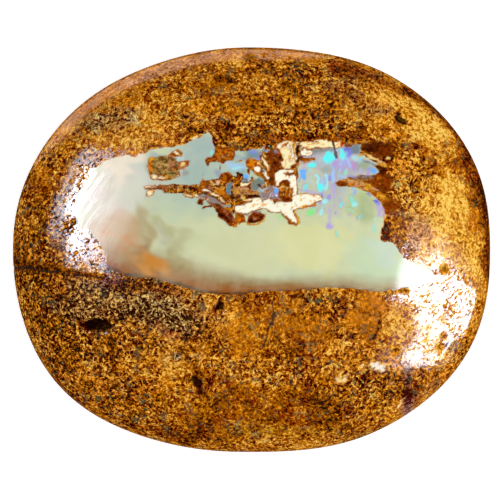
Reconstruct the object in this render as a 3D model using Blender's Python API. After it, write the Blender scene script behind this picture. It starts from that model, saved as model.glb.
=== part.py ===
"""A boulder opal: an oval cabochon cut from ironstone, with a seam of opal in its domed face.

The stone formed as one piece, so it is one solid. The opal is flush with the polished dome and so is
only a second material on the dome's faces. The hollows and pits that the polish left in the face are
real shape. Frame: X along the oval, Y across it, Z up from the flat back. The origin is the middle of
the back.
"""

import math

import bmesh
import bpy
from mathutils import Quaternion, Vector

MM = 0.001

LENGTH = 27.0 * MM
WIDTH = 22.9 * MM
HEIGHT = 6.0 * MM

# The oval is a little squarer than an ellipse, but for its rounder upper left, and was ground by hand.
SQUARENESS = 2.34
ROUNDER_BY = 0.32
ROUNDER_AT = math.radians(130)
ROUNDER_FOCUS = 3
HAND_GRINDING = 0.10 * MM
GRINDING_WAVES = 5
GRINDING_FROM = math.radians(67)

# The edge: a bevel up from the back, an upright girdle, then the dome.
BACK_INSET = 0.75 * MM
BEVEL_TOP = 0.55 * MM
GIRDLE_TOP = 1.45 * MM
DOME_FLATNESS = 2.2
DOME_ROUNDNESS = 2.0

AROUND = 96
DOME_RINGS = 25
GIRDLE_RINGS = 3
SHARP_EDGE = math.radians(35)

# Hollows that the polish dips into: middle, half length, half width, turn in degrees, depth.
HOLLOW_SOFTNESS = 1.5
HOLLOWS = {
    "broken_patch_in_the_opal": ((0.9 * MM, 3.2 * MM), 3.2 * MM, 1.5 * MM, -8, 0.20 * MM),
    "ring_around_the_brown_eye": ((-4.8 * MM, 4.7 * MM), 1.2 * MM, 1.0 * MM, 0, 0.08 * MM),
    "dip_beside_the_right_tongue": ((7.1 * MM, 2.6 * MM), 1.4 * MM, 0.7 * MM, -50, 0.10 * MM),
}

# Open pits in the ironstone: middle, half length, half width, turn in degrees, depth.
PITS = {
    "black_pit": ((-8.55 * MM, -4.2 * MM), 0.85 * MM, 0.40 * MM, -6, 0.34 * MM),
    "red_pit": ((-3.05 * MM, -7.4 * MM), 0.50 * MM, 0.34 * MM, -55, 0.26 * MM),
    "pit_by_the_veins": ((1.55 * MM, 2.95 * MM), 0.55 * MM, 0.30 * MM, 12, 0.24 * MM),
    "upper_right_pit": ((8.4 * MM, 7.3 * MM), 0.48 * MM, 0.22 * MM, -30, 0.22 * MM),
    "pit_under_the_window": ((-1.75 * MM, -3.15 * MM), 0.42 * MM, 0.24 * MM, 65, 0.22 * MM),
}
PIT_SUBDIVISIONS = 2
PIT_RAGGEDNESS = 0.22
PIT_CORNERS = 5
PIT_TWIST = 7
TANGENT_STEP = 0.1 * MM

# The opal's window in the face, from its left end clockwise.
OPAL_WINDOW = [
    (-8.7 * MM, 3.6 * MM),
    (-6.6 * MM, 5.6 * MM),
    (-2.0 * MM, 6.3 * MM),
    (1.6 * MM, 5.9 * MM),
    (6.0 * MM, 5.8 * MM),
    (7.1 * MM, 3.6 * MM),
    (7.3 * MM, 0.9 * MM),
    (9.6 * MM, -1.0 * MM),
    (8.6 * MM, -2.3 * MM),
    (-1.6 * MM, -2.6 * MM),
    (-7.0 * MM, -1.6 * MM),
    (-8.5 * MM, 0.4 * MM),
]


def outline_radius(angle):
    """Distance from the middle to the girdle in this direction."""
    rounder = ((1 + math.cos(angle - ROUNDER_AT)) / 2) ** ROUNDER_FOCUS
    power = SQUARENESS - ROUNDER_BY * rounder
    across = abs(math.cos(angle) / (LENGTH / 2)) ** power
    up = abs(math.sin(angle) / (WIDTH / 2)) ** power
    ripple = math.sin(2 * angle) ** 2 * math.cos(GRINDING_WAVES * (angle - GRINDING_FROM))
    return (across + up) ** (-1 / power) + HAND_GRINDING * ripple


def dome_height(share):
    """Height of the polished dome at this share of the way out to the girdle."""
    rise = max(0.0, 1 - share**DOME_FLATNESS) ** (1 / DOME_ROUNDNESS)
    return GIRDLE_TOP + (HEIGHT - GIRDLE_TOP) * rise


def surface_point(x, y):
    """The point of the plain dome above (x, y)."""
    share = math.hypot(x, y) / outline_radius(math.atan2(y, x))
    return Vector((x, y, dome_height(min(1.0, share))))


def hollow_depth(x, y):
    """How far the hollows take the dome down at (x, y)."""
    depth = 0.0
    for (mx, my), half_length, half_width, turn, deepest in HOLLOWS.values():
        turn = math.radians(turn)
        along = ((x - mx) * math.cos(turn) + (y - my) * math.sin(turn)) / half_length
        across = ((y - my) * math.cos(turn) - (x - mx) * math.sin(turn)) / half_width
        inside = max(0.0, 1 - along**2 - across**2)
        depth += deepest * inside**HOLLOW_SOFTNESS
    return depth


def ring(mesh, share, height=None):
    """One loop of vertices at this share of the outline, on the dome if no height is given."""
    vertices = []
    for step in range(AROUND):
        angle = 2 * math.pi * step / AROUND
        radius = outline_radius(angle)
        x = share * radius * math.cos(angle)
        y = share * radius * math.sin(angle)
        z = dome_height(share) - hollow_depth(x, y) if height is None else height
        vertices.append(mesh.verts.new((x, y, z)))
    return vertices


def back_ring(mesh):
    """The edge of the flat back, inside the girdle by the bevel."""
    vertices = []
    for step in range(AROUND):
        angle = 2 * math.pi * step / AROUND
        radius = outline_radius(angle) - BACK_INSET
        vertices.append(mesh.verts.new((radius * math.cos(angle), radius * math.sin(angle), 0)))
    return vertices


def band(mesh, lower, upper):
    """Quads between two loops of the same length."""
    for step in range(AROUND):
        after = (step + 1) % AROUND
        mesh.faces.new((lower[step], lower[after], upper[after], upper[step]))


def fan(mesh, loop, tip):
    """Triangles from a loop to one point above or below it."""
    for step in range(AROUND):
        mesh.faces.new((loop[step], loop[(step + 1) % AROUND], tip))


def inside_window(x, y):
    """True where (x, y) lies in the opal's window, by counting the sides to its right."""
    crossings = 0
    for (ax, ay), (bx, by) in zip(OPAL_WINDOW, OPAL_WINDOW[1:] + OPAL_WINDOW[:1]):
        if (ay > y) != (by > y) and x < ax + (y - ay) * (bx - ax) / (by - ay):
            crossings += 1
    return crossings % 2 == 1


def polished(name, colour, roughness):
    """A plain material of the part's own colour."""
    material = bpy.data.materials.new(name)
    material.use_nodes = True
    shader = material.node_tree.nodes["Principled BSDF"]
    shader.inputs["Base Color"].default_value = (*colour, 1)
    shader.inputs["Roughness"].default_value = roughness
    shader.inputs["Metallic"].default_value = 0.0
    return material


def build_stone():
    """The cut stone: flat back, bevel, girdle and dome, closed in one mesh."""
    mesh = bmesh.new()
    loops = [back_ring(mesh)]
    for step in range(GIRDLE_RINGS):
        height = BEVEL_TOP + (GIRDLE_TOP - BEVEL_TOP) * step / GIRDLE_RINGS
        loops.append(ring(mesh, 1.0, height))
    for step in range(DOME_RINGS):
        share = math.cos(math.pi / 2 * step / DOME_RINGS)
        loops.append(ring(mesh, share))
    for lower, upper in zip(loops, loops[1:]):
        band(mesh, lower, upper)
    top = surface_point(0, 0) - Vector((0, 0, hollow_depth(0, 0)))
    fan(mesh, loops[-1], mesh.verts.new(top))
    mesh.faces.new(reversed(loops[0]))

    for face in mesh.faces:
        middle = face.calc_center_median()
        on_dome = middle.z > GIRDLE_TOP
        face.material_index = int(on_dome and inside_window(middle.x, middle.y))
    stone = object_from(mesh, "boulder_opal")
    stone.data.materials.append(polished("polished_ironstone", (0.36, 0.17, 0.04), 0.15))
    stone.data.materials.append(polished("pale_opal", (0.62, 0.66, 0.44), 0.06))
    return stone


def object_from(mesh, name):
    """A scene object of this mesh, smooth but for its real edges."""
    data = bpy.data.meshes.new(name)
    mesh.to_mesh(data)
    mesh.free()
    data.shade_smooth()
    data.set_sharp_from_angle(angle=SHARP_EDGE)
    made = bpy.data.objects.new(name, data)
    bpy.context.scene.collection.objects.link(made)
    return made


def pit_cutter(name, middle, half_length, half_width, turn, depth):
    """A ragged lens that sits half sunk in the dome, and takes the pit out of it."""
    here = surface_point(*middle)
    along = surface_point(here.x + TANGENT_STEP, here.y) - here
    beside = surface_point(here.x, here.y + TANGENT_STEP) - here
    upright = along.cross(beside).normalized()
    along = (Quaternion(upright, math.radians(turn)) @ along).normalized()
    across = upright.cross(along)
    mesh = bmesh.new()
    bmesh.ops.create_icosphere(mesh, subdivisions=PIT_SUBDIVISIONS, radius=1.0)
    for vertex in mesh.verts:
        x, y, z = vertex.co
        corner = PIT_CORNERS * math.atan2(y, x) + PIT_TWIST * z
        ragged = 1 + PIT_RAGGEDNESS * math.sin(corner)
        level = along * x * half_length + across * y * half_width
        vertex.co = level * ragged + upright * z * depth
    cutter = object_from(mesh, name)
    cutter.location = here - Vector((0, 0, hollow_depth(here.x, here.y)))
    cutter.hide_render = True
    cutter.display_type = "WIRE"
    return cutter


def cut_pits(stone):
    """Takes every pit out of the stone."""
    for name, (middle, half_length, half_width, turn, depth) in PITS.items():
        cut = stone.modifiers.new(name, "BOOLEAN")
        cut.operation = "DIFFERENCE"
        cut.solver = "EXACT"
        cut.object = pit_cutter(name + "_cutter", middle, half_length, half_width, turn, depth)


def main():
    for old in list(bpy.data.objects):
        bpy.data.objects.remove(old)
    cut_pits(build_stone())


main()
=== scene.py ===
# %% [markdown]
# # A boulder opal, cut and polished
# The object is one stone: golden brown ironstone with a seam of milky opal that shows in a wide
# window in its face. It was sawn, ground to an oval and polished as a low dome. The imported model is
# loaded first, because it says how large the stone is and where it lies. The drawing below is done
# in millimetres, and only finished meshes are in metres.

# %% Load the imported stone
import math
import random

import bpy
import numpy as np
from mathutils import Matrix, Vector


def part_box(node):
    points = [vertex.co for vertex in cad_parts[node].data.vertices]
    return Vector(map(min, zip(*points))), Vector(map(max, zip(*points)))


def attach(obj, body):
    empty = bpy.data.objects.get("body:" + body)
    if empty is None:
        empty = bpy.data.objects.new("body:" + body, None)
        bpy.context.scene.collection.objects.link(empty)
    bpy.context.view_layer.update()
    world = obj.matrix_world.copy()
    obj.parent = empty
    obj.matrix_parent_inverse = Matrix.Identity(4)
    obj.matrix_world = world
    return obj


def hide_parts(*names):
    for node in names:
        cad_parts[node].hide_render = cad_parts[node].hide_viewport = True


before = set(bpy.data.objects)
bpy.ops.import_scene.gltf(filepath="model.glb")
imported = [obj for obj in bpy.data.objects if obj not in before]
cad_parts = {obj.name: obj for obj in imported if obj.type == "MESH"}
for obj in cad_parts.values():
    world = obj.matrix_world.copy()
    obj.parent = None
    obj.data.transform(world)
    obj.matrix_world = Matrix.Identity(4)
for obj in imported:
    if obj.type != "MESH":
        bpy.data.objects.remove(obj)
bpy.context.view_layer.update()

MM = 0.001
lowest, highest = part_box("boulder_opal")
LENGTH = (highest[0] - lowest[0]) / MM
WIDTH = (highest[1] - lowest[1]) / MM
HEIGHT = (highest[2] - lowest[2]) / MM
print(f"the stone is {LENGTH:.1f} x {WIDTH:.1f} x {HEIGHT:.1f} mm")

# %% [markdown]
# ## Writing node trees like sums
# Both the shape and the finish of the stone are node trees. A small class wraps a socket, so that
# `1 - mask` adds the Math node itself, and one method adds every other kind of node. That keeps a
# formula on one line, where it can be read beside the one that it repeats.

# %% A socket that sums can be written on
class Wire:
    """One output of a node. Each sum written on it adds a Math node to the tree."""

    def __init__(self, sheet, socket):
        self.sheet = sheet
        self.socket = socket

    def __add__(self, other):
        return self.sheet.maths("ADD", self, other)

    def __sub__(self, other):
        return self.sheet.maths("SUBTRACT", self, other)

    def __rsub__(self, other):
        return self.sheet.maths("SUBTRACT", other, self)

    def __mul__(self, other):
        return self.sheet.maths("MULTIPLY", self, other)

    def __truediv__(self, other):
        return self.sheet.maths("DIVIDE", self, other)

    def __rtruediv__(self, other):
        return self.sheet.maths("DIVIDE", other, self)

    def __pow__(self, other):
        return self.sheet.maths("POWER", self, other)

    __radd__ = __add__
    __rmul__ = __mul__

    def beside(self, name):
        """Another output of the same node."""
        return Wire(self.sheet, self.socket.node.outputs[name])


# %% A sheet to lay nodes on
MIX_FACTOR, MIX_A, MIX_B, MIX_RESULT = 0, 6, 7, 2


class Sheet:
    """A node tree while it is being written."""

    def __init__(self, tree):
        self.tree = tree

    def add(self, kind, settings=None, sockets=None, output=0):
        """Adds a node: first its settings, then the values or wires of its sockets."""
        node = self.tree.nodes.new(kind)
        for name, value in (settings or {}).items():
            if name == "stops":
                self.lay_stops(node.color_ramp.elements, value)
            else:
                setattr(node, name, value)
        for name, value in (sockets or {}).items():
            if isinstance(value, Wire):
                self.tree.links.new(value.socket, node.inputs[name])
            else:
                node.inputs[name].default_value = value
        return Wire(self, node.outputs[output]) if node.outputs else node

    def lay_stops(self, elements, stops):
        """Sets a colour ramp's stops, given as pairs of place and colour."""
        while len(elements) < len(stops):
            elements.new(1.0)
        for element, (place, colour) in zip(elements, stops):
            element.position = place
            element.color = colour

    def maths(self, operation, *values):
        return self.add("ShaderNodeMath", {"operation": operation}, dict(enumerate(values)))

    def vector_maths(self, operation, *values):
        return self.add("ShaderNodeVectorMath", {"operation": operation}, dict(enumerate(values)))

    def ease(self, value, low, high):
        """Runs from 0 at low to 1 at high, softly at both ends."""
        sockets = {"Value": value, "From Min": low, "From Max": high}
        return self.add("ShaderNodeMapRange", {"interpolation_type": "SMOOTHSTEP"}, sockets)

    def mix(self, factor, first, second, way="MIX"):
        """A colour between two others."""
        sockets = {MIX_FACTOR: factor, MIX_A: first, MIX_B: second}
        settings = {"data_type": "RGBA", "blend_type": way}
        return self.add("ShaderNodeMix", settings, sockets, MIX_RESULT)


# %% Colours as a painter would write them
def paint(code):
    """A colour from its six-figure code, as the linear values that a shader works with."""
    parts = [int(code[at:at + 2], 16) / 255 for at in (1, 3, 5)]
    linear = [part / 12.92 if part <= 0.04045 else ((part + 0.055) / 1.055) ** 2.4 for part in parts]
    return (*linear, 1.0)


# %% [markdown]
# ## The cut stone
# The shape follows a rule, so a Geometry Nodes tree makes it: a square grid is pressed into a disc,
# the disc is stretched to the hand-ground oval, and the dome rises over it. A grid was chosen
# because its lines can be crowded together where the opal is, and painted detail is only as fine as
# the mesh under it. Its lines also crowd at the rim, where the dome turns down steeply. The girdle,
# the bevel and the back are loops pulled out of the rim.

# %% The sizes of the cut
GIRDLE_TOP = 1.45
BEVEL_TOP = 0.55
BACK_INSET = 0.75
DOME_FLATNESS = 2.2
DOME_ROUNDNESS = 2.0
SQUARENESS = 2.34
ROUNDER_BY = 0.32
ROUNDER_AT = math.radians(130)
ROUNDER_FOCUS = 3
HAND_GRINDING = 0.10
GRINDING_WAVES = 5
GRINDING_FROM = math.radians(67)

COLUMNS = 330
ROWS = 250
CROWDING = 1.9
CROWDED_COLUMN = 0.08
CROWDED_ROW = 0.14
RIM_CROWDING = 8
GIRDLE_LOOPS = 3
BACK_LOOPS = (0.97, 0.6, 0.0)
MERGE_WITHIN = 0.0001


# %% The tree that cuts the stone
def crowd(sheet, place, towards):
    """Moves grid lines, which run from -1 to 1, closer together around one place."""
    reach = 2 / (math.sinh(CROWDING * (1 - towards)) + math.sinh(CROWDING * (1 + towards)))
    middle = 1 - reach * math.sinh(CROWDING * (1 - towards))
    return middle + reach * sheet.maths("SINH", CROWDING * (place - towards))


def oval_radius(sheet, angle, sizes):
    """The distance from the middle to the girdle in this direction."""
    rounder = (1 + sheet.maths("COSINE", angle - ROUNDER_AT)) / 2
    power = sizes["Squareness"] - sizes["Rounder By"] * rounder**ROUNDER_FOCUS
    across = sheet.maths("ABSOLUTE", sheet.maths("COSINE", angle) / (sizes["Length"] / 2)) ** power
    up = sheet.maths("ABSOLUTE", sheet.maths("SINE", angle) / (sizes["Width"] / 2)) ** power
    diagonal = sheet.maths("SINE", 2 * angle)
    waves = sheet.maths("COSINE", GRINDING_WAVES * (angle - GRINDING_FROM))
    ripple = diagonal * diagonal * waves
    return (across + up) ** (-1 / power) + sizes["Hand Grinding"] * ripple


def dome_place(sheet, place, sizes):
    """Where a point of the square grid lies on the dome."""
    column = crowd(sheet, place, CROWDED_COLUMN)
    row = crowd(sheet, place.beside("Y"), CROWDED_ROW)
    east = column * sheet.maths("SQRT", 1 - row * row / 2)
    north = row * sheet.maths("SQRT", 1 - column * column / 2)
    angle = sheet.maths("ARCTAN2", north, east)
    plain = sheet.maths("SQRT", east * east + north * north)
    share = plain * (RIM_CROWDING + 1 - plain**RIM_CROWDING) / RIM_CROWDING
    out = share * oval_radius(sheet, angle, sizes)
    rise = sheet.maths("MAXIMUM", 0.0, 1 - share**DOME_FLATNESS) ** (1 / DOME_ROUNDNESS)
    height = sizes["Girdle Top"] + (sizes["Height"] - sizes["Girdle Top"]) * rise
    corners = {0: out * sheet.maths("COSINE", angle), 1: out * sheet.maths("SINE", angle), 2: height}
    return sheet.add("ShaderNodeCombineXYZ", None, corners)


def pull_loop(sheet, mesh, place):
    """Pulls the mesh's open edge out and sets its new loop down at a place."""
    faces = sheet.add("GeometryNodeInputMeshEdgeNeighbors")
    compare = {"data_type": "INT", "operation": "EQUAL"}
    open_edge = sheet.add("FunctionNodeCompare", compare, {"A": faces, "B": 1})
    sockets = {"Mesh": mesh, "Selection": open_edge, "Offset Scale": 0.0}
    pulled = sheet.add("GeometryNodeExtrudeMesh", {"mode": "EDGES"}, sockets)
    sockets = {"Geometry": pulled, "Selection": pulled.beside("Top"), "Position": place}
    return sheet.add("GeometryNodeSetPosition", None, sockets)


def shrunk_to(sheet, share, height):
    """The point above or below here, this share of the way out, at this height."""
    here = sheet.add("GeometryNodeInputPosition")
    parts = sheet.add("ShaderNodeSeparateXYZ", None, {0: here})
    corners = {0: parts * share, 1: parts.beside("Y") * share, 2: height}
    return sheet.add("ShaderNodeCombineXYZ", None, corners)


def cutting_tree():
    """The tree that makes the plain cut stone, with its sizes as inputs."""
    tree = bpy.data.node_groups.new("cut_the_cabochon", "GeometryNodeTree")
    sizes = ("Length", "Width", "Height", "Girdle Top", "Bevel Top", "Back Inset", "Hand Grinding",
             "Squareness", "Rounder By")
    for name in sizes:
        tree.interface.new_socket(name, in_out="INPUT", socket_type="NodeSocketFloat")
    for name in ("Columns", "Rows"):
        tree.interface.new_socket(name, in_out="INPUT", socket_type="NodeSocketInt")
    tree.interface.new_socket("Finish", in_out="INPUT", socket_type="NodeSocketMaterial")
    tree.interface.new_socket("Geometry", in_out="OUTPUT", socket_type="NodeSocketGeometry")

    sheet = Sheet(tree)
    given = sheet.add("NodeGroupInput")
    sizes = {name: given.beside(name) for name in sizes}
    grid = {"Size X": 2.0, "Size Y": 2.0, "Vertices X": given.beside("Columns"),
            "Vertices Y": given.beside("Rows")}
    mesh = sheet.add("GeometryNodeMeshGrid", None, grid)
    place = sheet.add("ShaderNodeSeparateXYZ", None, {0: sheet.add("GeometryNodeInputPosition")})
    sockets = {"Geometry": mesh, "Position": dome_place(sheet, place, sizes)}
    mesh = sheet.add("GeometryNodeSetPosition", None, sockets)

    drop = (sizes["Girdle Top"] - sizes["Bevel Top"]) / GIRDLE_LOOPS
    for step in range(1, GIRDLE_LOOPS + 1):
        mesh = pull_loop(sheet, mesh, shrunk_to(sheet, 1.0, sizes["Girdle Top"] - drop * step))
    reach = sheet.vector_maths("LENGTH", shrunk_to(sheet, 1.0, 0.0)).beside("Value")
    mesh = pull_loop(sheet, mesh, shrunk_to(sheet, 1 - sizes["Back Inset"] / reach, 0.0))
    before = 1.0
    for share in BACK_LOOPS:
        mesh = pull_loop(sheet, mesh, shrunk_to(sheet, share / before, 0.0))
        before = share or 1.0
    sockets = {"Geometry": mesh, "Distance": MERGE_WITHIN * MM}
    mesh = sheet.add("GeometryNodeMergeByDistance", None, sockets)
    mesh = sheet.add("GeometryNodeRealizeInstances", None, {"Geometry": mesh})
    sockets = {"Geometry": mesh, "Material": given.beside("Finish")}
    mesh = sheet.add("GeometryNodeSetMaterial", None, sockets)
    sheet.add("NodeGroupOutput", None, {"Geometry": mesh})
    return tree


# %% [markdown]
# A tree's result only becomes a mesh that can be painted and exported when the object is evaluated.
# This helper gives a tree its inputs by their identifiers, takes the evaluated mesh, and puts it on
# a plain object at the origin.

# %% Run a tree and keep its mesh
def run_tree(name, tree, inputs, start=None):
    """The mesh that the tree makes, on a new object with no modifiers left."""
    worker = bpy.data.objects.new(name + "_worker", start or bpy.data.meshes.new(name + "_start"))
    bpy.context.scene.collection.objects.link(worker)
    modifier = worker.modifiers.new(name, "NODES")
    modifier.node_group = tree
    for item in tree.interface.items_tree:
        if item.name in inputs:
            modifier[item.identifier] = inputs[item.name]
    evaluated = worker.evaluated_get(bpy.context.evaluated_depsgraph_get())
    mesh = bpy.data.meshes.new_from_object(evaluated)
    bpy.data.objects.remove(worker)
    mesh.name = name
    made = bpy.data.objects.new(name, mesh)
    bpy.context.scene.collection.objects.link(made)
    return made


finish = bpy.data.materials.new("polished_boulder_opal")
CUT = {
    "Length": LENGTH * MM,
    "Width": WIDTH * MM,
    "Height": HEIGHT * MM,
    "Girdle Top": GIRDLE_TOP * MM,
    "Bevel Top": BEVEL_TOP * MM,
    "Back Inset": BACK_INSET * MM,
    "Hand Grinding": HAND_GRINDING * MM,
    "Squareness": SQUARENESS,
    "Rounder By": ROUNDER_BY,
    "Columns": COLUMNS,
    "Rows": ROWS,
    "Finish": finish,
}
blank = run_tree("cabochon_blank", cutting_tree(), CUT)
print(f"the blank has {len(blank.data.vertices)} vertices and {len(blank.data.polygons)} faces")

# %% [markdown]
# ## Drawing on the face
# The opal's window, the shards and the stains are polished flush with the dome, so they are drawn
# and not raised. Each is an outline seen from above, in millimetres from the middle of the stone.
# For every point of the mesh the distance to an outline is stored, more than 0 inside it. The
# material then finds the edge itself at 0, which stays sharp between the mesh's points, and can
# make the edge ragged by adding noise to the distance.

# %% Where the points of the blank are, seen from above
count = len(blank.data.vertices)
places = np.empty(count * 3)
blank.data.vertices.foreach_get("co", places)
places = places.reshape(count, 3) / MM
X, Y, Z = places.T


# %% A slow wander that keeps drawn shapes from looking drawn
WAVES = 6


def wander(size, reach, seed):
    """A smooth field over the face: sums of waves about this size, no more than reach high."""
    dice = random.Random(seed)
    field = np.zeros(count)
    for _ in range(WAVES):
        angle = dice.uniform(0, 2 * math.pi)
        length = size * dice.uniform(0.6, 1.6)
        along = X * math.cos(angle) + Y * math.sin(angle)
        field += np.sin(2 * math.pi * along / length + dice.uniform(0, 2 * math.pi))
    return field * reach / WAVES


PEN_X = X + wander(0.5, 0.09, 5) + wander(0.24, 0.04, 7)
PEN_Y = Y + wander(0.5, 0.09, 6) + wander(0.24, 0.04, 8)
WANDER_X = X + wander(2.6, 0.9, 1) + wander(0.9, 0.45, 2)
WANDER_Y = Y + wander(2.6, 0.9, 3) + wander(0.9, 0.45, 4)


# %% Distances to outlines, strokes and ovals
FAR_OFF = 99.0


def from_segment(x, y, start, end):
    """The distance to a straight stretch, and how far along it the nearest point is."""
    run = (end[0] - start[0], end[1] - start[1])
    along = ((x - start[0]) * run[0] + (y - start[1]) * run[1]) / (run[0] ** 2 + run[1] ** 2)
    along = np.clip(along, 0, 1)
    return np.hypot(x - start[0] - along * run[0], y - start[1] - along * run[1]), along


def patch(points, x=PEN_X, y=PEN_Y):
    """The distance to a closed outline, more than 0 inside."""
    nearest = np.full(len(x), FAR_OFF)
    inside = np.zeros(len(x), bool)
    for start, end in zip(points, points[1:] + points[:1]):
        nearest = np.minimum(nearest, from_segment(x, y, start, end)[0])
        spans = (start[1] > y) != (end[1] > y)
        rise = end[1] - start[1] if end[1] != start[1] else 1.0
        inside ^= spans & (x < start[0] + (y - start[1]) * (end[0] - start[0]) / rise)
    return np.where(inside, nearest, -nearest)


def line(points, wide, narrow=None, x=PEN_X, y=PEN_Y):
    """The distance to the edge of a stroke that tapers from one width to another."""
    best = np.full(len(x), -FAR_OFF)
    narrow = wide if narrow is None else narrow
    stretches = len(points) - 1
    for step, (start, end) in enumerate(zip(points, points[1:])):
        distance, along = from_segment(x, y, start, end)
        width = wide + (narrow - wide) * (step + along) / stretches
        best = np.maximum(best, width / 2 - distance)
    return best


def oval(middle, half_length, half_width, turn=0.0, x=PEN_X, y=PEN_Y):
    """About the distance to the edge of an oval, more than 0 inside."""
    turn = math.radians(turn)
    along = ((x - middle[0]) * math.cos(turn) + (y - middle[1]) * math.sin(turn)) / half_length
    across = ((y - middle[1]) * math.cos(turn) - (x - middle[0]) * math.sin(turn)) / half_width
    return (1 - np.hypot(along, across)) * min(half_length, half_width)


def all_of(shapes):
    """The distance to several shapes taken as one."""
    return np.maximum.reduce(list(shapes))


def soften(distance, low, high):
    """Runs from 0 at low to 1 at high, softly at both ends."""
    share = np.clip((distance - low) / (high - low), 0, 1)
    return share * share * (3 - 2 * share)


# %% [markdown]
# The window is where the cut met the seam. Its upper edge is broken, with a rusty mass of splinters
# hanging into the opal, and its lower edge runs along the wall of the seam. At the right a tongue of
# ironstone points into it.

# %% The opal's window
WINDOW = [
    (-8.0, -1.0), (-8.1, -0.3), (-8.35, 0.2), (-8.75, 0.8), (-9.1, 1.15), (-9.6, 1.3), (-9.8, 1.8),
    (-9.85, 2.9), (-9.5, 3.45), (-9.15, 3.9), (-8.85, 4.35), (-8.4, 4.8), (-7.9, 5.05), (-7.2, 5.2),
    (-6.5, 5.2), (-6.0, 5.3), (-5.7, 5.5), (-5.2, 5.6), (-4.3, 5.72), (-3.8, 5.85), (-3.2, 6.1),
    (-2.75, 6.3), (-2.4, 6.5), (-2.2, 6.35), (-2.2, 5.95), (-2.0, 5.6), (-1.0, 5.5), (-0.4, 5.45),
    (0.1, 5.55), (0.6, 5.7), (1.0, 5.75), (1.4, 5.8), (2.0, 6.0), (3.0, 6.0), (4.0, 6.05),
    (5.0, 5.98), (5.5, 5.8), (6.15, 5.85), (6.15, 5.55), (5.95, 5.4), (6.2, 5.2), (6.6, 5.05),
    (7.1, 4.75), (6.75, 4.6), (7.1, 4.4), (7.0, 4.2), (6.75, 4.12), (6.2, 4.15), (5.7, 4.1),
    (5.3, 3.98), (4.9, 3.87), (4.63, 3.72), (4.85, 3.55), (5.3, 3.5), (5.8, 3.45), (6.2, 3.3),
    (6.55, 3.12), (6.95, 2.9), (7.25, 2.55), (7.42, 2.15), (7.45, 1.8), (7.3, 1.55), (7.2, 1.1),
    (7.12, 0.5), (7.35, 0.4), (7.8, 0.42), (8.0, 0.15), (8.3, -0.25), (8.6, -0.6), (9.1, -0.75),
    (9.7, -0.8), (10.0, -1.05), (10.2, -1.5), (10.1, -1.85), (9.3, -2.05), (8.5, -2.15),
    (7.6, -2.25), (6.8, -2.32), (6.0, -2.2), (5.3, -2.08), (4.3, -2.12), (3.3, -2.2), (2.2, -2.28),
    (1.2, -2.28), (0.3, -2.35), (-0.8, -2.45), (-1.7, -2.5), (-2.5, -2.42), (-3.3, -2.2),
    (-4.2, -1.92), (-5.2, -1.65), (-6.2, -1.52), (-7.0, -1.45), (-7.5, -1.2),
]
LOWER_WALL = [
    (-7.9, -1.05), (-7.0, -1.45), (-6.2, -1.52), (-5.2, -1.65), (-4.2, -1.92), (-3.3, -2.2),
    (-2.5, -2.42), (-1.7, -2.5), (-0.8, -2.45), (0.3, -2.35), (2.2, -2.28), (4.3, -2.12),
    (5.3, -2.08), (6.8, -2.32), (8.5, -2.15), (9.6, -2.0),
]

# %% [markdown]
# ## The broken patch
# Where the seam was broken, splinters of limonite and pale opal lie every way in the opal. No rule
# makes such a heap, so it is painted, dab by dab, as on a miniature: first the dark masses, then the
# shards over them, then the bright slivers. A dab's row says its paint, its shape as a distance, how
# soft its edge is and how strongly it covers. Each dab is stone or opal, which decides its polish
# too. Clear stone dabs carry no colour of their own and let the ironstone's grain show.

# %% The paints
STONE_PAINTS = {
    "clear": "#000000",
    "white": "#FFFBE2",
    "cream": "#FFF0BC",
    "straw": "#F8D27C",
    "gold": "#E8A62C",
    "orange": "#DE7C0A",
    "ember": "#E64C0A",
    "amber": "#B66408",
    "tan": "#D09A5C",
    "peach": "#F4B88C",
    "rose": "#B47650",
    "olive": "#A48A48",
    "rust": "#8E3A06",
    "brown": "#6A2E08",
    "dark": "#3C1004",
    "black": "#140602",
}
OPAL_PAINTS = {
    "cyan": "#66FFFF",
    "ice": "#A8F2F4",
    "aqua": "#92E6DA",
    "azure": "#72B8FF",
    "sky": "#A6D2FF",
    "blue": "#7C96EC",
    "indigo": "#6A6EDC",
    "violet": "#8E86E6",
    "lilac": "#BCAAE8",
    "pink": "#C894D2",
    "green": "#8EF08E",
    "moss": "#9AAC78",
    "sea": "#5C8E94",
    "slate": "#717C88",
    "mauve": "#96827F",
    "smoke": "#80867A",
}

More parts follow.
